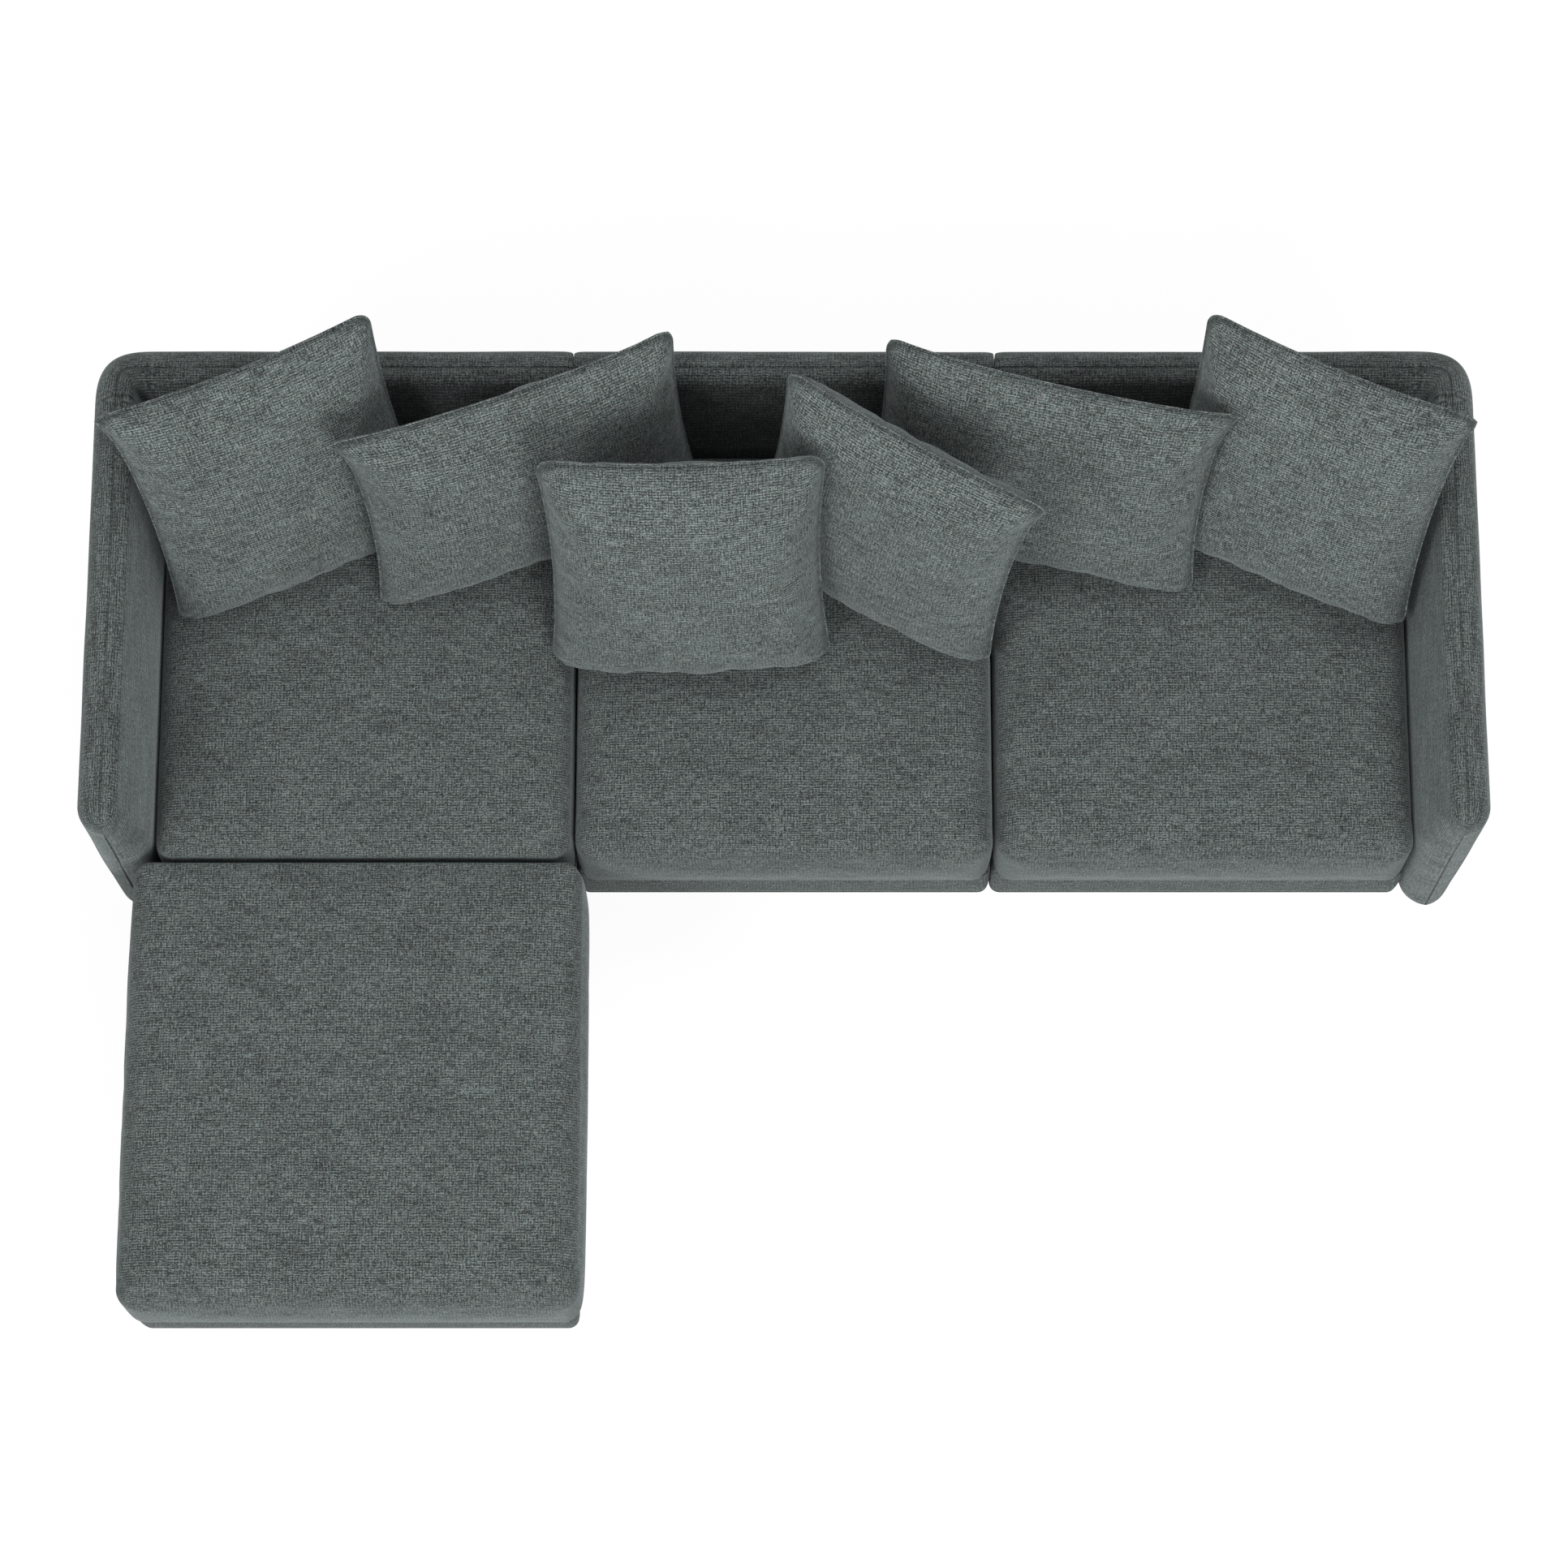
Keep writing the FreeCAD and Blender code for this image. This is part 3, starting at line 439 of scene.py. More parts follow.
def corner_station(turn):
    """A station round the rear left corner."""
    part = turn / (math.pi / 2)
    power = 2 / corner_power((ARM_SECTION[:, 0] + BACK_SECTION[:, 0]) / 2)
    x = CORNER - SIDE - (CORNER - ARM_SECTION[:, 0]) * math.cos(turn) ** power
    y = REAR - CORNER + (CORNER - BACK_SECTION[:, 0]) * math.sin(turn) ** power
    height = ARM_SECTION[:, 1] * (1 - part) + BACK_SECTION[:, 1] * part
    return np.column_stack([x, y, height])


def corner_turns(count):
    """Angles round a corner, closer together at both ends."""
    return [math.pi / 4 * (1 - math.cos(math.pi * k / count)) for k in range(1, count + 1)]


def end_stations(place, direction):
    """Places and shares of the eased end of a back at a module joint, from inside to outside."""
    return [(place - direction * distance, share) for distance, share in END_STEPS]


def middle_stations():
    """Stations along the middle back with the length of the way to each."""
    end = JOINT - JOINT_GAP
    inner = end - END_REACH
    stops = end_stations(-end, -1)[::-1]
    stops += [(x, 1.0) for x in np.linspace(-inner, inner, MIDDLE_STATIONS)[1:-1]]
    stops += end_stations(end, 1)
    return [back_station(x, share) for x, share in stops], [x for x, share in stops]


def tub_stations():
    """Stations along an arm and round its corner to the joint, with the length of the way to each."""
    rows = []
    way = []
    half_nose = ARM / 2
    for share, place in NOSE_TIP:
        rows.append(arm_station(NOSE + place, share))
        way.append(NOSE - NOSE_WEAVE * half_nose)
    for turn in np.linspace(NOSE_FIRST, math.pi / 2, NOSE_STATIONS):
        y = NOSE + half_nose * (1 - math.cos(turn))
        rows.append(arm_station(y, math.sin(turn)))
        way.append(y - half_nose * (1 - turn / (math.pi / 2)) * NOSE_WEAVE)
    for y in np.linspace(NOSE + half_nose, REAR - CORNER, ARM_STATIONS)[1:]:
        rows.append(arm_station(y))
        way.append(y)
    for turn in corner_turns(CORNER_STATIONS):
        rows.append(corner_station(min(turn, math.pi / 2 - 1e-6)))
        way.append(REAR - CORNER + CORNER_WEAVE * CORNER * turn)
    begun = way[-1]
    first = CORNER - SIDE
    stops = [(x, 1.0) for x in np.linspace(first, -JOINT - END_REACH, BACK_STATIONS)[1:-1]]
    for x, share in stops + end_stations(-JOINT, 1):
        rows.append(back_station(x, share))
        way.append(begun + x - first)
    return rows, way


def tub_piece(name, kind):
    """Padding of the left or right arm with its part of the back, or of the middle back."""
    rows, way = middle_stations() if kind == "middle" else tub_stations()
    section = BACK_SECTION if kind == "middle" else ARM_SECTION
    count = len(section)
    raked = (section[:, 0] > SEAM + EDGE / 2) & (section[:, 1] > SEAT - 0.01)
    rise = np.diff(section[:, 1], append=section[0, 1]) * np.where(raked, RAKED_WEAVE, 1.0)
    around = running(np.hypot(np.diff(section[:, 0], append=section[0, 0]), rise))
    points = np.vstack(rows)
    shade_marks = np.tile(section[:, 2], len(rows))
    if kind != "middle":
        points = pucker(points)
        # painted shade over the first stations, where the seam runs down the nose
        for row, shade_mark in enumerate(NOSE_SHADE):
            shade_marks[row * count:(row + 1) * count] = shade_mark
    if kind == "right":
        points[:, 0] *= -1
    faces, uvs = ring_faces(len(rows), count, lambda row, column: (way[row], around[column]))
    obj = mesh_piece(name, points, faces, uvs, shade_marks, weld=PADDING_WELD)
    soft = coords(obj)
    scale, seed, size = PADDING_WAVE
    wave = uneven(soft, scale, seed) * size
    inside = (np.abs(soft[:, 0]) < SIDE - ARM + WALL_BAND) & (soft[:, 1] < REAR - BACK + WALL_BAND)
    hidden = inside & (soft[:, 2] < SEAT + SEAT_BAND)
    loose = (soft[:, 2] > WAVE_FOOT) & ~hidden
    set_coords(obj, soft + coords(obj, "normal") * (wave * loose)[:, None])
    return obj


def pucker(points):
    """Small folds that fan out from where the top seam of an arm turns down over the nose."""
    away = points - np.array(PUCKER_AT)
    far = np.linalg.norm(away, axis=1)
    angle = np.arctan2(away[:, 0], away[:, 1])
    size = PUCKER_SIZE * np.exp(-(far / PUCKER_REACH) ** 2) * (1 - np.exp(-(far / PUCKER_EYE) ** 2))
    points = points.copy()
    points[:, 2] += size * np.sin(PUCKER_FOLDS * angle) * (away[:, 2] > -PUCKER_DROP)
    return points


# Thread stitches beside the top seam

STITCH_LENGTH = 0.0046
STITCH_RADIUS = 0.00075
STITCH_PITCH = 0.0068
STITCH_LIFT = 0.0004
STITCH_ASIDE = 0.0065  # from the seam to each row
STITCH_RING = 6
STITCH_SHAPE = ((-0.5, 0.25), (-0.32, 0.95), (0.32, 0.95), (0.5, 0.25))  # place and width along a stitch
STITCH_END = 0.012  # from the last stitch to a module joint
STITCH_START = 0.060  # from the nose to the first stitch
LINE_POINTS = 240  # points on each part of a line
CORNER_POINTS = 40
MIDDLE_POINTS = 300


def stitch_mesh(name, spots, along, rise):
    """One piece of thread stitches, each a short rounded dash."""
    verts = []
    faces = []
    last = len(STITCH_SHAPE) - 1
    for spot, way in zip(spots, along):
        side = np.cross(way, rise)
        base = len(verts)
        for step, wide in STITCH_SHAPE:
            for k in range(STITCH_RING):
                angle = 2 * math.pi * k / STITCH_RING
                offset = side * math.cos(angle) + rise * math.sin(angle)
                verts.append(spot + way * step * STITCH_LENGTH + offset * wide * STITCH_RADIUS)
        for row in range(last):
            here = base + row * STITCH_RING
            for k in range(STITCH_RING):
                n = (k + 1) % STITCH_RING
                faces.append((here + k, here + n, here + STITCH_RING + n, here + STITCH_RING + k))
        faces.append(tuple(base + k for k in range(STITCH_RING))[::-1])
        faces.append(tuple(base + last * STITCH_RING + k for k in range(STITCH_RING)))
    return mesh_piece(name, verts, faces, np.zeros((sum(len(f) for f in faces), 2)))


def tub_line(kind, depth):
    """Line that follows the top of the padding at a depth from the outer face."""
    radius = SEAM if depth < SEAM else EDGE
    height = TOP - (radius - math.sqrt(radius ** 2 - (depth - SEAM) ** 2)) + STITCH_LIFT
    if kind == "middle":
        return np.array([(x, REAR - depth, height)
                         for x in np.linspace(-JOINT + STITCH_END, JOINT - STITCH_END, MIDDLE_POINTS)])
    line = [(depth - SIDE, y, height) for y in np.linspace(NOSE + STITCH_START, REAR - CORNER, LINE_POINTS)]
    power = 2 / float(corner_power(depth))
    for turn in corner_turns(CORNER_POINTS):
        line.append((CORNER - SIDE - (CORNER - depth) * max(math.cos(turn), 0) ** power,
                     REAR - CORNER + (CORNER - depth) * math.sin(turn) ** power, height))
    for x in np.linspace(CORNER - SIDE, -JOINT - STITCH_END, LINE_POINTS)[1:]:
        line.append((x, REAR - depth, height))
    line = np.array(line)
    if kind == "right":
        line[:, 0] *= -1
    return line


def dashes(line, pitch):
    """Evenly spaced spots along a line with the direction at each."""
    run = running(np.linalg.norm(np.diff(line, axis=0), axis=1))
    stops = np.arange(pitch / 2, run[-1], pitch)

    def along(at):
        return np.column_stack([np.interp(at, run, line[:, k]) for k in range(3)])

    way = along(stops + 0.001) - along(stops - 0.001)
    return along(stops), way / np.linalg.norm(way, axis=1, keepdims=True)


# Upholstered bases

BASE_LOW = 0.130  # height of the lower edge that the profile is drawn for
BASE_PROFILE = (  # inset and height, from the deck down round the hem and back inside
    (0.250, 0.2485), (0.030, 0.2495), (0.010, 0.2490), (0.0045, 0.2470), (0.0012, 0.2425),
    (0.0, 0.236), (-0.0014, 0.215), (-0.0020, 0.190), (-0.0014, 0.165), (0.0, 0.1455),
    (0.0014, 0.1440), (0.0016, 0.1430), (0.0004, 0.1418), (0.0006, 0.1370), (0.0026, 0.1325),
    (0.0060, 0.1305), (0.0110, 0.1305), (0.0135, 0.1330), (0.0140, 0.1400), (0.0140, 0.2440),
    (0.250, 0.2440),
)
BASE_HEM_SHADE = {10: 0.6, 11: 1.0, 12: 0.6}  # row of the profile: painted shade at the hem's seam
BASE_OUTER = 5  # row on the outer face
BASE_CORNER = 0.020
LEAST_CORNER = 0.004
BASE_WELD = 1e-6
SHEET_POINTS = 40
SHEET_INSET = 0.001
SHEET_SAG = 0.0010
SHEET_WAVE = (9.0, 0.0004)  # scale and size


def ring_of(half_x, half_y, radius, per_side=44, per_corner=7):
    """Points round a rectangle with round corners, about its centre."""
    corners = ((1, -1, -90), (1, 1, 0), (-1, 1, 90), (-1, -1, 180))

    def on_corner(corner, turn):
        angle = math.radians(turn)
        return (corner[0] * (half_x - radius) + radius * math.cos(angle),
                corner[1] * (half_y - radius) + radius * math.sin(angle))

    spots = []
    for n, corner in enumerate(corners):
        start = corner[2]
        spots += [on_corner(corner, turn) for turn in np.linspace(start, start + 90, per_corner)]
        end = spots[-1]
        follow = on_corner(corners[(n + 1) % 4], start + 90)
        for share in np.linspace(0, 1, per_side + 1)[1:-1]:
            spots.append((end[0] + (follow[0] - end[0]) * share, end[1] + (follow[1] - end[1]) * share))
    return np.array(spots)


def base_piece(name, node):
    """Padded border with its deck: a closed tray with a stitched hem, hollow below."""
    low, high = node_box(node)
    centre = (low + high) / 2
    half = (high - low) / 2
    rings = []
    shade_marks = []
    for row, (inset, z) in enumerate(BASE_PROFILE):
        ring = ring_of(half[0] - inset, half[1] - inset, max(BASE_CORNER - inset, LEAST_CORNER))
        rings.append(np.column_stack([ring + centre[:2], np.full(len(ring), z + (low[2] - BASE_LOW))]))
        shade_marks.append(np.full(len(ring), BASE_HEM_SHADE.get(row, 0.0)))
    count = len(rings[0])
    outer = rings[BASE_OUTER]
    around = running(np.linalg.norm(np.diff(np.vstack([outer, outer[:1]]), axis=0), axis=1))
    down = running([math.hypot(a[0] - b[0], a[1] - b[1]) for a, b in zip(BASE_PROFILE, BASE_PROFILE[1:])])
    faces, uvs = ring_faces(len(rings), count, lambda row, column: (around[column], -down[row]))
    for row, order in ((0, 1), (len(rings) - 1, -1)):
        cap = [row * count + j for j in range(count)][::order]
        faces.append(cap)
        uvs += [tuple(rings[row][index % count][:2]) for index in cap]
    return mesh_piece(name, np.vstack(rings), faces, uvs, np.concatenate(shade_marks), weld=BASE_WELD)


def dust_sheet(name, node, seed):
    """Thin cloth stretched under a base, sagging a little between its staples."""
    low, high = node_box(node)
    points = []
    for y in np.linspace(low[1] + SHEET_INSET, high[1] - SHEET_INSET, SHEET_POINTS):
        for x in np.linspace(low[0] + SHEET_INSET, high[0] - SHEET_INSET, SHEET_POINTS):
            u = 2 * (x - low[0]) / (high[0] - low[0]) - 1
            v = 2 * (y - low[1]) / (high[1] - low[1]) - 1
            sag = SHEET_SAG * (1 - u * u) * (1 - v * v)
            points.append((x, y, (low[2] + high[2]) / 2 - sag))
    points = np.array(points)
    points[:, 2] += uneven(points, SHEET_WAVE[0], seed) * SHEET_WAVE[1]
    faces = []
    for i, j in np.ndindex(SHEET_POINTS - 1, SHEET_POINTS - 1):
        here = i * SHEET_POINTS + j
        faces.append((here, here + SHEET_POINTS, here + SHEET_POINTS + 1, here + 1))
    return mesh_piece(name, points, faces, [tuple(points[n][:2]) for face in faces for n in face])


# Loose pillows

PILLOWS = {  # kind, yaw, lean, roll, seed, plumpness and slack of the loose ear
    "left_corner_pillow": ("square", 23, 30, 0, 1, 1.02, -0.019),
    "left_long_pillow": ("long", 21, 24, -1.5, 2, 1.12, -0.024),
    "front_pillow": ("square", 0, 25.5, 1.5, 3, 1.22, 0),
    "middle_pillow": ("square", -30, 17, 0, 4, 1.04, 0.018),
    "right_long_pillow": ("long", -13.5, 28, 0, 5, 1.04, 0.020),
    "right_corner_pillow": ("square", -27, 29.5, 4, 6, 1.04, 0.010),
}
PILLOW_SIZE = {"square": (0.500, 0.500, 0.140), "long": (0.624, 0.422, 0.130)}  # width, height and loft
FLANGE = 0.0045  # flat seam all round
GROOVE = 0.0020  # from the seam to the first point of the crown
PILLOW_GRID = (0.06, 0.0062, 0.0105)  # as for the cushions
SEAM_HALF = 0.0016  # half of the thickness at the seam
# reach of the painted shade on the crown beside the seam
PAINTED_SHADE_BAND = 0.010
STUFFING = 0.90  # share of the loft before the cloth is blown up
FRONT_PANEL = (0.96, 0.22, 0.36, 0.40, -0.17)  # fullness, powers and their change at the foot
REAR_PANEL = (0.92, 0.0, 0.38, 0.34, 0.20)
DRAW = 0.017  # how far the sides draw in, and the foot
FOOT_DRAW = -0.003
EAR = 0.032  # radius of the corners
EAR_REACH = 0.008  # how far the corners reach out
NECK = {"square": 0.006, "long": 0.012}  # how far the side draws in below the loose ear
EAR_PERK = {"square": 0.0, "long": 0.010}  # how far the upper corners stand up
PILLOW_LUMPS = (9.0, 0.0024, 0.03)  # scale, size and the height of full size
PILLOW_HELD = 0.0025  # points that lie flatter than this are held by the seam
REAR_SHIFT = 1.3  # shift of the weave on the rear panel, and from pillow to pillow
SEED_SHIFT = (0.37, 0.21)
SETTLE_REACH = 0.03
CONTACT = 0.0012  # gap between a pillow and the seat


def pillow_turn(yaw, lean, roll):
    """Turn that rolls a flat pillow, stands it up, leans it back and turns it."""
    turn = Matrix.Identity(3)
    for degrees, axis in ((yaw, "Z"), (-lean, "X"), (90, "X"), (roll, "Z")):
        turn = turn @ Matrix.Rotation(math.radians(degrees), 3, axis)
    return turn


def pillow_axis(half):
    """Places across a pillow from seam to seam: the flat flange, then finer near the seams."""
    inner = places(half - FLANGE, *PILLOW_GRID)
    groove = half - FLANGE - GROOVE
    return np.concatenate([[-half, -half + FLANGE * 0.5, inner[0], -groove], inner[1:-1],
                           [groove, inner[-1], half - FLANGE * 0.5, half]])


def run_length(places_along, heights):
    """Length of cloth from the middle of a profile to each of its points."""
    run = running(np.hypot(np.diff(places_along), np.diff(heights)))
    return run - run[len(run) // 2]


def pillow_plan(kind, slack, across, up, u, v):
    """Plan of a panel with round corners, drawn-in sides and one loose upper ear."""
    width, height, loft = PILLOW_SIZE[kind]
    over_x = np.maximum(np.abs(across) - (width / 2 - EAR), 0)
    over_y = np.maximum(np.abs(up) - (height / 2 - EAR), 0)
    ear = np.maximum(over_x, over_y) / np.maximum(np.hypot(over_x, over_y), TINY)
    tip = (over_x > 0) & (over_y > 0)
    x = np.where(tip, np.sign(u) * (width / 2 - EAR + over_x * ear), across)
    y = np.where(tip, np.sign(v) * (height / 2 - EAR + over_y * ear), up)
    side_share = 1 - (2 * y / height) ** 2
    end_share = 1 - (2 * x / width) ** 2
    loose = u * slack > 0
    neck = np.where(loose, NECK[kind] * (1 - v ** 8) * ((1 + v) / 2) ** 0.5, 0)
    x = (x - np.sign(u) * np.abs(u) ** 3 * (DRAW * side_share + neck)) * (1 + 2 * EAR_REACH / width)
    x = x + np.where(loose & (v > 0), slack * np.abs(u) ** 3 * np.abs(v) ** 6, 0)
    perk = np.where(v > 0, EAR_PERK[kind] * np.abs(v) ** 3 * np.abs(u) ** 6, 0)
    draw = np.where(v > 0, DRAW, FOOT_DRAW) * np.abs(v) ** 3 * end_share
    y = (y - np.sign(v) * draw) * (1 + 2 * EAR_REACH / height) + perk
    return x, y


def pillow_rise(kind, plump, u, v):
    """Height of the front and the rear panel above the seam, and the painted shade along the seam."""
    width, height, loft = PILLOW_SIZE[kind]
    inside = 1 - FLANGE / (width / 2), 1 - FLANGE / (height / 2)
    a = np.clip(1 - (np.abs(u) / inside[0]) ** 2, 0, 1)
    b = np.clip(1 - (np.abs(v) / inside[1]) ** 2, 0, 1)
    low_share = (1 - v) / 2
    rise = {}
    for side, fuller, panel in ((1, plump, FRONT_PANEL), (-1, 1.0, REAR_PANEL)):
        full, foot_full, power_x, power_y, foot_power = panel
        crown = loft / 2 * fuller * (full + foot_full * low_share) * a ** power_x
        rise[side] = SEAM_HALF + crown * b ** (power_y + foot_power * low_share) * STUFFING
    flange = (np.abs(u) > inside[0] + 1e-4) | (np.abs(v) > inside[1] + 1e-4)
    return rise, np.where(flange, 0.0, np.clip(1 - (a * b) / PAINTED_SHADE_BAND, 0, 1))


def pillow_piece(name, kind, seed, plump, slack):
    """Two panels sewn together all round, about the pillow's own centre, and the points that the seam
    holds; slack is how far its loose upper ear hangs out, to the left where it is negative."""
    width, height, loft = PILLOW_SIZE[kind]
    across, up = np.meshgrid(pillow_axis(width / 2), pillow_axis(height / 2))
    u = across / (width / 2)
    v = up / (height / 2)
    x, y = pillow_plan(kind, slack, across, up, u, v)
    rise, seam_shades = pillow_rise(kind, plump, u, v)
    rows, columns = across.shape
    end_row = np.arange(rows)[:, None] % (rows - 1) == 0
    end_column = np.arange(columns)[None, :] % (columns - 1) == 0
    border = end_row | end_column
    points = []
    shade_marks = []
    faces = []
    uvs = []
    number = {}
    for side in (1, -1):
        z = np.where(border, 0, rise[side])
        for i, j in np.ndindex(rows, columns):
            if side < 0 and border[i, j]:
                number[side, i, j] = number[1, i, j]
                continue
            number[side, i, j] = len(points)
            points.append((x[i, j], y[i, j], side * z[i, j]))
            shade_marks.append(0.0 if border[i, j] else seam_shades[i, j])
        weave_x = run_length(x[rows // 2], z[rows // 2])
        weave_x = weave_x + (REAR_SHIFT if side < 0 else 0) + SEED_SHIFT[0] * seed
        weave_y = run_length(y[:, columns // 2], z[:, columns // 2]) + SEED_SHIFT[1] * seed
        for i, j in np.ndindex(rows - 1, columns - 1):
            keys = ((i, j), (i, j + 1), (i + 1, j + 1), (i + 1, j))[::side]
            faces.append([number[side, p, q] for p, q in keys])
            uvs += [(weave_x[q], weave_y[p]) for p, q in keys]
    points = np.array(points)
    scale, size, full = PILLOW_LUMPS
    lumps = uneven(points, scale, seed) * size
    points[:, 2] += lumps * (np.sign(points[:, 2]) * np.minimum(np.abs(points[:, 2]) / full, 1))
    obj = mesh_piece(name, points, faces, uvs, shade_marks)
    return obj, [n for n in range(len(points)) if abs(points[n, 2]) < PILLOW_HELD]


def settle(pillow, seats):
    """Flatten a pillow where it would reach into the seats that it stands on."""
    place = pillow.matrix_world
    back = place.inverted()
    for vertex in pillow.data.vertices:
        spot = place @ vertex.co
        if spot.z > SEAT + SETTLE_REACH:
            continue
        hits = [tree.ray_cast(Vector((spot.x, spot.y, TOP)), Vector((0, 0, -1)))[0] for tree in seats]
        top = max((hit.z for hit in hits if hit), default=0) + CONTACT
        if spot.z < top:
            vertex.co = back @ Vector((spot.x, spot.y, top))


# Build the soft pieces

SEAT_PLAY = (0.0008, 0.0008, 0.004, 0.0)
STOOL_PLAY = (0.003, 0.003, 0.003, 0.0015)
CUSHIONS = (  # piece, solids, body, play, seed, share of the roll pressed flat, pressed sides
    ("left_seat_cushion", "left_seat", "sofa", SEAT_PLAY, 11, (0.95, 0.0), "-y +y -z"),
    ("middle_seat_cushion", "middle_seat", "sofa", SEAT_PLAY, 12, (0.0, 0.0), "+y -z"),
    ("right_seat_cushion", "right_seat", "sofa", SEAT_PLAY, 13, (0.0, 0.0), "+y -z"),
    ("footstool_cushion_pad", "footstool_seat", "footstool_cushion", STOOL_PLAY, 14, (0.0, 0.95), "+y -z"),
)
CUSHION_CLOTH = (1.5, 0.002, 0.004)  # pressure, spare cloth and the most that a point may move
PILLOW_CLOTH = (3.0, 0.018, 0.020)
CUSHION_FILL = 0.8
PILLOW_FILL = 0.7
PADDING_FILL = 0.9

COVERS = {}  # piece: body, the solids that it replaces, fill and fabric
jobs = []
for name, seat, body, play, seed, pressed, sides in CUSHIONS:
    cushion = boxed_cushion(name, seat + "_cover", play, seed, pressed)
    COVERS[name] = (body, (seat + "_cover", seat + "_core"), CUSHION_FILL, "sofa")
    jobs.append((cushion, *CUSHION_CLOTH, None))
for name, (kind, yaw, lean, roll, seed, plump, slack) in PILLOWS.items():
    pillow, held = pillow_piece(name + "_padded", kind, seed, plump, slack)
    COVERS[pillow.name] = (name, (name + "_cover", name + "_insert"), PILLOW_FILL, "pillow")
    jobs.append((pillow, *PILLOW_CLOTH, held))

swell(jobs)

for name, seat, body, play, seed, pressed, sides in CUSHIONS:
    cushion = bpy.data.objects[name]
    press(cushion, seat + "_cover", sides)
    if body == "sofa":
        press(cushion, seat + "_cover", "-x +x", -SEAT_SPREAD)
    cushion_weave(cushion)
    subdivide(cushion)

graph = bpy.context.evaluated_depsgraph_get()
seat_trees = [BVHTree.FromObject(bpy.data.objects[row[0]], graph) for row in CUSHIONS if row[2] == "sofa"]
for name, (kind, yaw, lean, roll, seed, plump, slack) in PILLOWS.items():
    pillow = bpy.data.objects[name + "_padded"]
    turn = pillow_turn(yaw, lean, roll)
    solid = coords(frame["nodes"][name + "_cover"]) @ np.array(turn)
    middle = turn @ Vector((solid.min(0) + solid.max(0)) / 2)
    pillow.matrix_world = Matrix.Translation(middle) @ turn.to_4x4()
    settle(pillow, seat_trees)
    subdivide(pillow)

for kind, name in (("left", "left_tub"), ("right", "right_tub"), ("middle", "middle_back")):
    tub = tub_piece(name + "_padding", kind)
    subdivide(tub)
    COVERS[tub.name] = ("sofa", (name + "_cover", name + "_foam"), PADDING_FILL, "tub")
    lines = [tub_line(kind, SEAM + aside) for aside in (-STITCH_ASIDE, STITCH_ASIDE)]
    spots, ways = (np.vstack(part) for part in zip(*[dashes(line, STITCH_PITCH) for line in lines]))
    thread = stitch_mesh(name + "_stitching", spots, ways, np.array((0.0, 0.0, 1.0)))
    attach(thread, "sofa")

for name, body in (("left", "sofa"), ("middle", "sofa"), ("right", "sofa"), ("footstool", "footstool")):
    base = base_piece(name + "_base_border", name + "_base_cover")
    if body == "sofa":
        press(base, name + "_base_cover", "-x +x +y")
    COVERS[base.name] = (body, (name + "_base_cover",), PADDING_FILL, "base")
    sheet = dust_sheet(name + "_dust_sheet", name + "_dust_cover", len(name))
    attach(sheet, body)
    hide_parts(name + "_dust_cover")

for name, (body, nodes, fill, look) in COVERS.items():
    piece = bpy.data.objects[name]
    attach(piece, body)
    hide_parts(*nodes)


# Shader nodes

def tree_of(name):
    material = bpy.data.materials.new(name)
    material.use_nodes = True
    tree = material.node_tree
    return material, tree, tree.nodes["Principled BSDF"]


def feed(tree, node, inputs):
    """Link inputs of a node where their value is a socket, and set them where it is a constant."""
    for name, value in inputs.items():
        if isinstance(value, bpy.types.NodeSocket):
            tree.links.new(value, node.inputs[name])
        else:
            node.inputs[name].default_value = value


def add_node(tree, kind, inputs, output, **settings):
    """New node with its settings and inputs; gives back one of its outputs."""
    node = tree.nodes.new(kind)
    for setting, value in settings.items():
        setattr(node, setting, value)
    feed(tree, node, inputs)
    return node.outputs[output]


def math_node(tree, operation, first, second, clamp=False):
    return add_node(tree, "ShaderNodeMath", {0: first, 1: second}, 0, operation=operation, use_clamp=clamp)


def mix_colours(tree, blend, factor, first, second):
    return add_node(tree, "ShaderNodeMix", {"Factor": factor, "A": first, "B": second}, "Result",
                    data_type="RGBA", blend_type=blend)


def colour_ramp(tree, value, first, last, between=None):
    """Colours along a value; each stop is a place and a colour."""
    node = tree.nodes.new("ShaderNodeValToRGB")
    elements = node.color_ramp.elements
    for element, (place, colour) in zip(elements, (first, last)):
        element.position = place
        element.color = (*colour, 1)
    if between:
        elements.new(between[0]).color = (*between[1], 1)
    tree.links.new(value, node.inputs["Fac"])
    return node.outputs["Color"]


def ranged(tree, value, low, high):
    return add_node(tree, "ShaderNodeMapRange", {"Value": value, "To Min": low, "To Max": high}, "Result")


def relief(tree, height, strength, depth):
    return add_node(tree, "ShaderNodeBump", {"Height": height, "Strength": strength, "Distance": depth},
                    "Normal")


def noise_value(tree, source, stretch, inputs, shift=(0, 0, 0), dimensions="3D"):
    place = add_node(tree, "ShaderNodeMapping", {"Vector": source, "Scale": stretch, "Location": shift},
                     "Vector")
    return add_node(tree, "ShaderNodeTexNoise", {"Vector": place, **inputs}, "Fac",
                    noise_dimensions=dimensions)


def weave_noise(tree, source, layer):
    """Noise on the weave coordinates; a layer is its scale, detail, roughness and shift."""
    (along, across), detail, rough, shift = layer
    inputs = {"Scale": 1, "Detail": detail, "Roughness": rough}
    return noise_value(tree, source, (along, across, 1), inputs, (shift, shift * 1.7, 0), "2D")


# Fabric

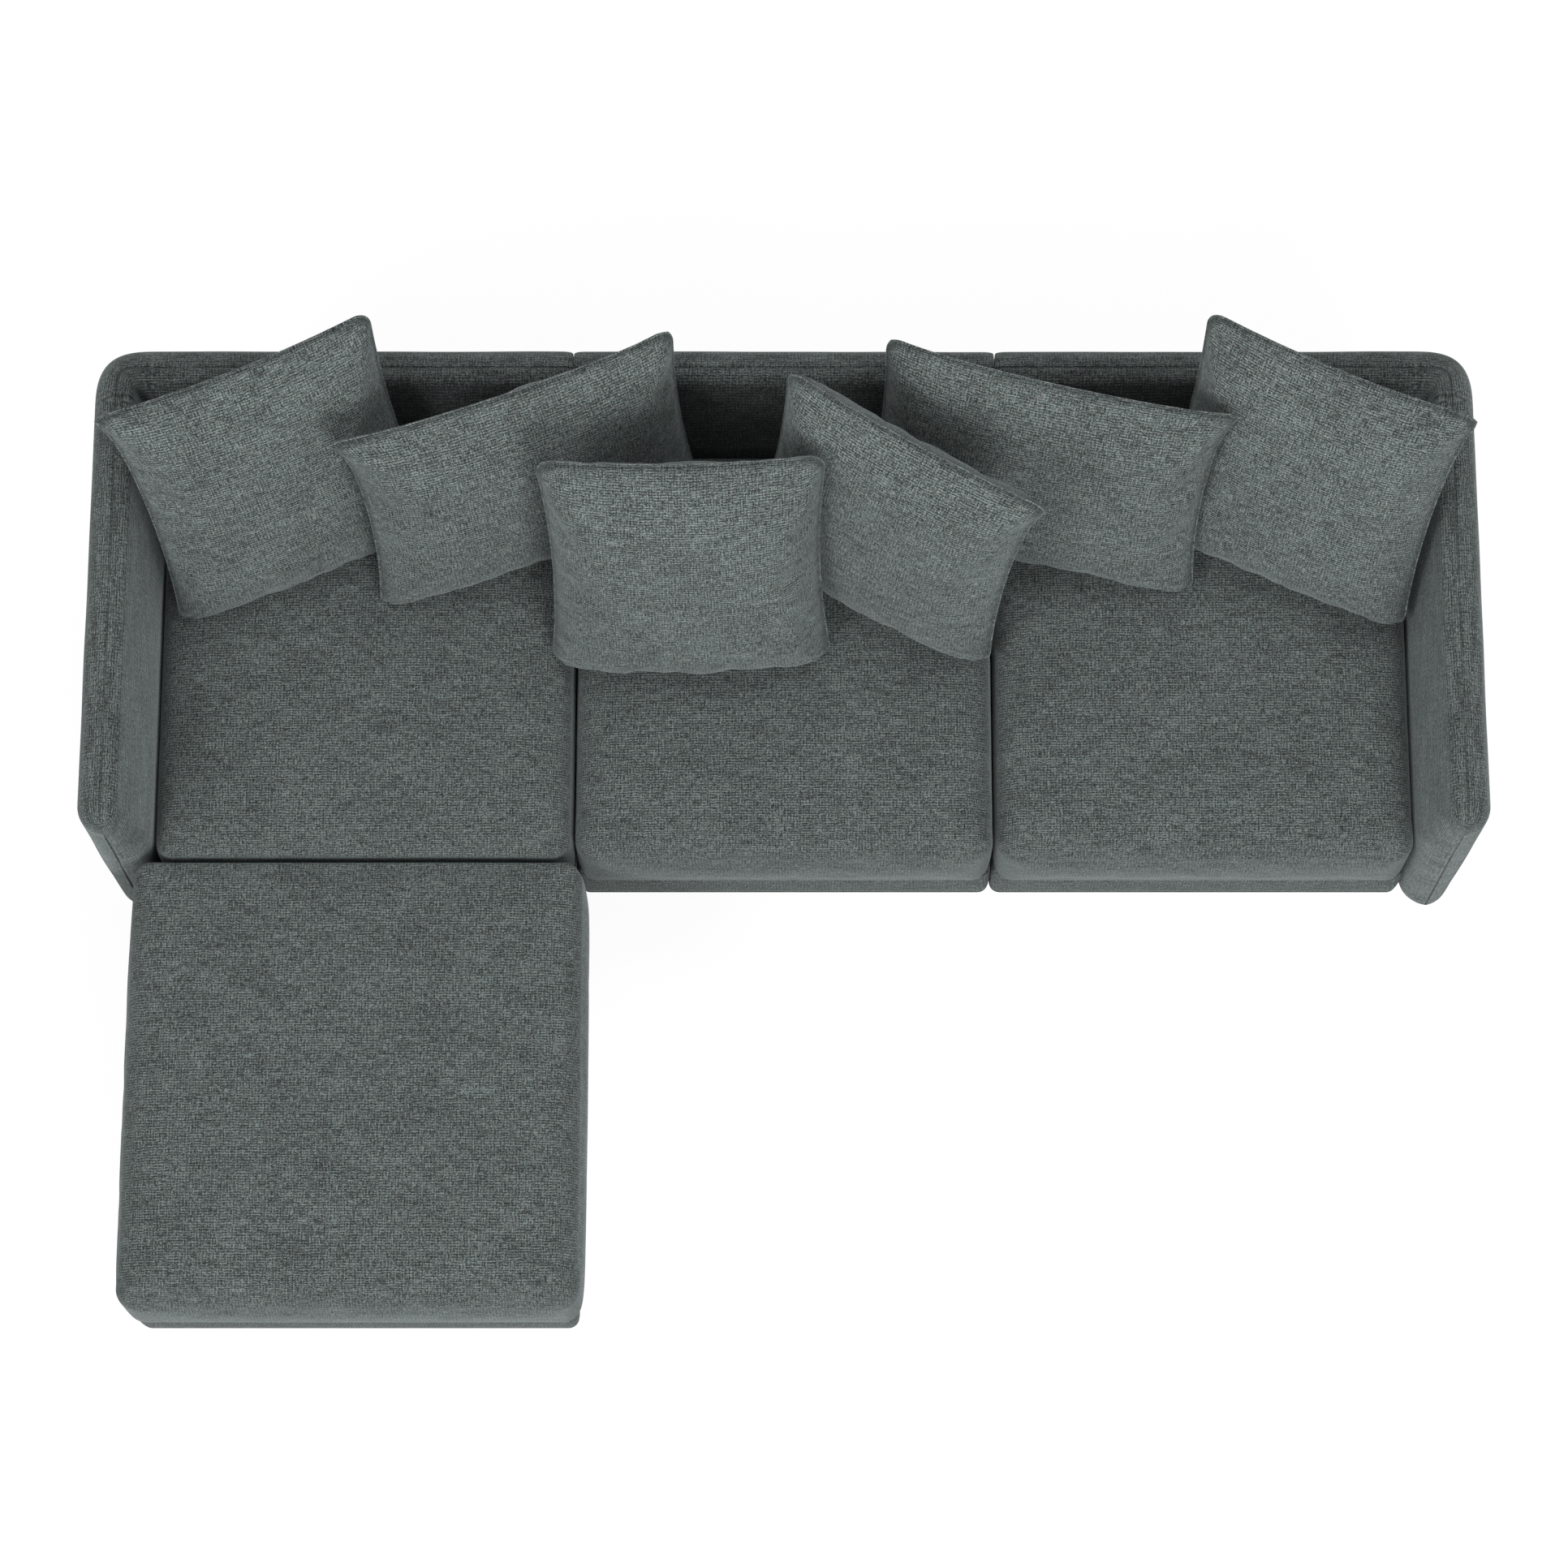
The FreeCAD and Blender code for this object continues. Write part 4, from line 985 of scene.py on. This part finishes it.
ROW = 0.0048  # pitch of the rows
CORD = 0.0056  # pitch of the cords across them
ROW_BEND = 4.0
CORD_BEND = 6.0
RIB_TONE = 0.18
CORD_TONE = 0.09
MIDDLE_TONE = 0.46
YARNS = (  # layer and gain: long yarns, dashes, flecks and cross threads
    (((36, 480), 1, 0.5, 0.0), 0.85),
    (((140, 480), 1, 0.5, 1.3), 1.05),
    (((350, 560), 1, 0.5, 3.1), 1.7),
    (((480, 64), 1, 0.5, 5.7), 0.95),
)
STREAK = ((12, 75), 1, 0.5, 7.1)
BLOTCH = (((9, 12), 3, 0.6, 9.3), 0.26)
HUE = ((170, 420), 1, 0.5, 14.9)
WOBBLE = ((40, 14), 1, 0.5, 21.3)
DARKEST = 0.24  # tone of the darkest and the palest yarn, against the tint
PALEST = 2.6
COOL = (0.30, (0.92, 1.0, 1.06))
OLIVE = (0.56, (1.03, 1.01, 0.93))
WARM = (0.70, (1.08, 0.99, 1.0))
# painted shade: colour that darkens the cloth along each seam, standing in for the shade in its groove
PAINTED_SEAM_SHADE = (0.42, 0.43, 0.44, 1)
PAINTED_SEAM_SHADE_SHARE = 0.9
SHEEN_TINT = (0.62, 0.70, 0.70, 1)
FABRIC_ROUGH = (0.98, 0.80)
FABRIC_RELIEF = (0.5, 0.0006)  # strength and depth
RIB_RELIEF = 0.3
SOFA_TINT = (0.0430, 0.0502, 0.0497)
# the pillows are the sofa's cloth; their paler tint is painted light, for the front light on their faces
PILLOW_TINT_PAINTED_LIGHT = (0.055, 0.0640, 0.0635)


def fabric(name, tint, sheen, streaks=0.26):
    """Heathered linen weave: fine rows of uneven yarn with pale and dark flecks and soft mottling, with
    painted shade along each seam.
    """
    material, tree, shader = tree_of(name)
    source = add_node(tree, "ShaderNodeUVMap", {}, "UV", uv_map="weave")
    split = tree.nodes.new("ShaderNodeSeparateXYZ")
    feed(tree, split, {"Vector": source})
    wobble = weave_noise(tree, source, WOBBLE)

    def calc(operation, first, second, clamp=False):
        return math_node(tree, operation, first, second, clamp)

    def wave(coordinate, pitch, bend):
        phase = calc("MULTIPLY", split.outputs[coordinate], 2 * math.pi / pitch)
        return calc("SINE", calc("ADD", phase, calc("MULTIPLY", wobble, bend)), 0)

    ribs = wave("Y", ROW, ROW_BEND)
    cords = wave("X", CORD, CORD_BEND)
    tone = MIDDLE_TONE
    for layer, gain in (*YARNS, (STREAK, streaks), BLOTCH):
        value = weave_noise(tree, source, layer)
        tone = calc("ADD", calc("MULTIPLY", calc("SUBTRACT", value, 0.5), gain), tone)
    tone = calc("ADD", calc("MULTIPLY", ribs, RIB_TONE), tone)
    tone = calc("ADD", calc("MULTIPLY", cords, CORD_TONE), tone, clamp=True)

    dark = [c * DARKEST for c in tint]
    pale = [c * PALEST for c in tint]
    yarn = colour_ramp(tree, tone, (0.0, dark), (1.0, pale), (0.5, tint))
    hue = colour_ramp(tree, weave_noise(tree, source, HUE), COOL, WARM, OLIVE)
    colour = mix_colours(tree, "MULTIPLY", 1, yarn, hue)
    # painted shade along each seam, from the shade values on the points
    shade_mark = add_node(tree, "ShaderNodeAttribute", {}, "Fac", attribute_name="seam")
    seam = calc("MULTIPLY", shade_mark, PAINTED_SEAM_SHADE_SHARE)
    height = calc("ADD", calc("MULTIPLY", ribs, RIB_RELIEF), tone)
    feed(tree, shader, {
        "Base Color": mix_colours(tree, "MULTIPLY", seam, colour, PAINTED_SEAM_SHADE),
        "Roughness": ranged(tree, tone, *FABRIC_ROUGH),
        "Specular IOR Level": 0.18,
        "Sheen Weight": sheen,
        "Sheen Roughness": 0.45,
        "Sheen Tint": SHEEN_TINT,
        "Normal": relief(tree, height, *FABRIC_RELIEF),
    })
    return material


FABRICS = {
    "sofa": fabric("sofa_fabric_weave", SOFA_TINT, 0.22),
    "tub": fabric("tub_fabric_weave", SOFA_TINT, 0.26, 0.50),
    "base": fabric("base_fabric_weave", SOFA_TINT, 0.08),
    # paler copy of the sofa's cloth: painted light on the pillows
    "pillow": fabric("pillow_fabric_weave", PILLOW_TINT_PAINTED_LIGHT, 0.24),
}


# Thread, wood, foam, felt and metal

def two_tone(name, dark, light, scale, stretch, rough, depth, metal=0.0):
    """Grain, brushing or felting between two colours, with relief."""
    material, tree, shader = tree_of(name)
    place = add_node(tree, "ShaderNodeTexCoord", {}, "Object")
    value = noise_value(tree, place, stretch, {"Scale": scale, "Detail": 4.0})
    feed(tree, shader, {
        "Base Color": colour_ramp(tree, value, (0.3, dark), (0.7, light)),
        "Roughness": ranged(tree, value, *rough),
        "Metallic": metal,
        "Normal": relief(tree, value, 0.4, depth),
    })
    return material


EVEN = (1, 1, 1)
PLAIN_LOOKS = {  # name, dark and light colour, scale and stretch of the grain, roughness, relief, metal
    "thread": ("thread", (0.030, 0.036, 0.036), (0.060, 0.068, 0.068), 900, EVEN, (0.7, 0.9), 0.0002),
    "frame_timber": ("planed_softwood", (0.42, 0.28, 0.15), (0.66, 0.49, 0.30), 14, (1, 1, 9),
                     (0.55, 0.75), 0.0006),
    "leg_timber": ("stained_wood", (0.030, 0.018, 0.012), (0.085, 0.052, 0.034), 26, (6, 6, 0.7),
                   (0.32, 0.5), 0.0004),
    "foam": ("cut_foam", (0.72, 0.68, 0.52), (0.84, 0.80, 0.66), 500, EVEN, (0.9, 1.0), 0.0008),
    "fibre_fill": ("fibre", (0.80, 0.80, 0.78), (0.90, 0.90, 0.88), 300, EVEN, (0.9, 1.0), 0.001),
    "webbing": ("strap_weave", (0.040, 0.040, 0.042), (0.13, 0.13, 0.13), 420, EVEN, (0.8, 0.95), 0.0006),
    "dust_cloth": ("non_woven", (0.022, 0.022, 0.024), (0.050, 0.050, 0.053), 650, EVEN,
                   (0.85, 0.98), 0.0003),
    "felt": ("pressed_felt", (0.18, 0.165, 0.15), (0.30, 0.28, 0.26), 900, EVEN, (0.9, 1.0), 0.0004),
    "grip": ("grip_rubber", (0.03, 0.03, 0.03), (0.065, 0.065, 0.065), 300, (1, 6, 1), (0.7, 0.85), 0.0006),
    "steel": ("zinc_plate", (0.46, 0.47, 0.49), (0.66, 0.67, 0.69), 90, (1, 14, 1),
              (0.28, 0.45), 0.0001, 1.0),
}
LOOKS = {slot: two_tone(*look) for slot, look in PLAIN_LOOKS.items()}
slots = {row["node"]: row["material_slot"] for row in frame["record"]["subparts"]}
for node, obj in frame["nodes"].items():
    obj.data.materials.clear()
    obj.data.materials.append(LOOKS.get(slots[node], FABRICS["sofa"]))
for name, (body, nodes, fill, look) in COVERS.items():
    bpy.data.objects[name].data.materials.append(FABRICS[look])
for obj in scene.objects:
    if obj.name.endswith("_stitching"):
        obj.data.materials.append(LOOKS["thread"])
    if obj.name.endswith("_dust_sheet"):
        obj.data.materials.append(LOOKS["dust_cloth"])


# Floor, light and camera

FLOOR_REACH = 30.0
FLOOR_GREY = (0.52, 0.52, 0.52, 1)  # the floor as the object's light sees it
WHITE = (1, 1, 1, 1)
FLOOR_GLOW = 0.88  # share of plain white in the floor as it is seen
WORLD_LIGHT = 0.64
WORLD_SEEN = 1.0


def background_rays(tree):
    """1 for the rays that show the background: from the camera, off gloss or through glass."""
    rays = tree.nodes.new("ShaderNodeLightPath")
    seen = math_node(tree, "ADD", rays.outputs["Is Camera Ray"], rays.outputs["Is Glossy Ray"])
    return math_node(tree, "ADD", seen, rays.outputs["Is Transmission Ray"], clamp=True)


floor_mesh = bpy.data.meshes.new("floor")
corners = [(x * FLOOR_REACH, y * FLOOR_REACH, 0) for x, y in ((-1, -1), (1, -1), (1, 1), (-1, 1))]
floor_mesh.from_pydata(corners, [], [(0, 1, 2, 3)])
floor = bpy.data.objects.new("floor", floor_mesh)
scene.collection.objects.link(floor)
floor_look, tree, shader = tree_of("pale_floor")
shown = background_rays(tree)
feed(tree, shader, {
    "Base Color": mix_colours(tree, "MIX", shown, FLOOR_GREY, WHITE),
    "Roughness": 0.9,
    "Specular IOR Level": 0.1,
})
glow = add_node(tree, "ShaderNodeEmission", {"Color": WHITE}, "Emission")
share = math_node(tree, "MULTIPLY", shown, FLOOR_GLOW)
blend = add_node(tree, "ShaderNodeMixShader", {0: share, 1: shader.outputs["BSDF"], 2: glow}, "Shader")
feed(tree, tree.nodes["Material Output"], {"Surface": blend})
floor_mesh.materials.append(floor_look)

world = bpy.data.worlds.new("studio")
scene.world = world
world.use_nodes = True
tree = world.node_tree
level = ranged(tree, background_rays(tree), WORLD_LIGHT, WORLD_SEEN)
feed(tree, tree.nodes["Background"], {"Color": WHITE, "Strength": level})


def softbox(name, spot, aim, size, watts):
    lamp = bpy.data.lights.new(name, "AREA")
    lamp.shape = "RECTANGLE"
    lamp.size, lamp.size_y = size
    lamp.energy = watts
    obj = bpy.data.objects.new(name, lamp)
    scene.collection.objects.link(obj)
    obj.location = spot
    obj.rotation_euler = (Vector(aim) - Vector(spot)).to_track_quat("-Z", "Y").to_euler()


softbox("key", spot=(2.2, -5.0, 4.6), aim=(0, 0, 0.4), size=(3.2, 2.6), watts=455)
softbox("fill", spot=(-5.0, -4.4, 6.0), aim=(0, 0, 0.4), size=(3.5, 3.0), watts=420)
softbox("over", spot=(0.4, 2.4, 6.0), aim=(0, 0.2, 0.4), size=(5.0, 3.0), watts=165)

lens = bpy.data.cameras.new("camera")
lens.sensor_width = 36
lens.lens = 105.14
lens.clip_end = 100
camera = bpy.data.objects.new("camera", lens)
scene.collection.objects.link(camera)
camera.location = (0, -2.179, 8.430)
camera.rotation_euler = Euler((0.2775, 0, 0))
scene.camera = camera

scene.view_settings.view_transform = "Standard"

bpy.context.view_layer.update()
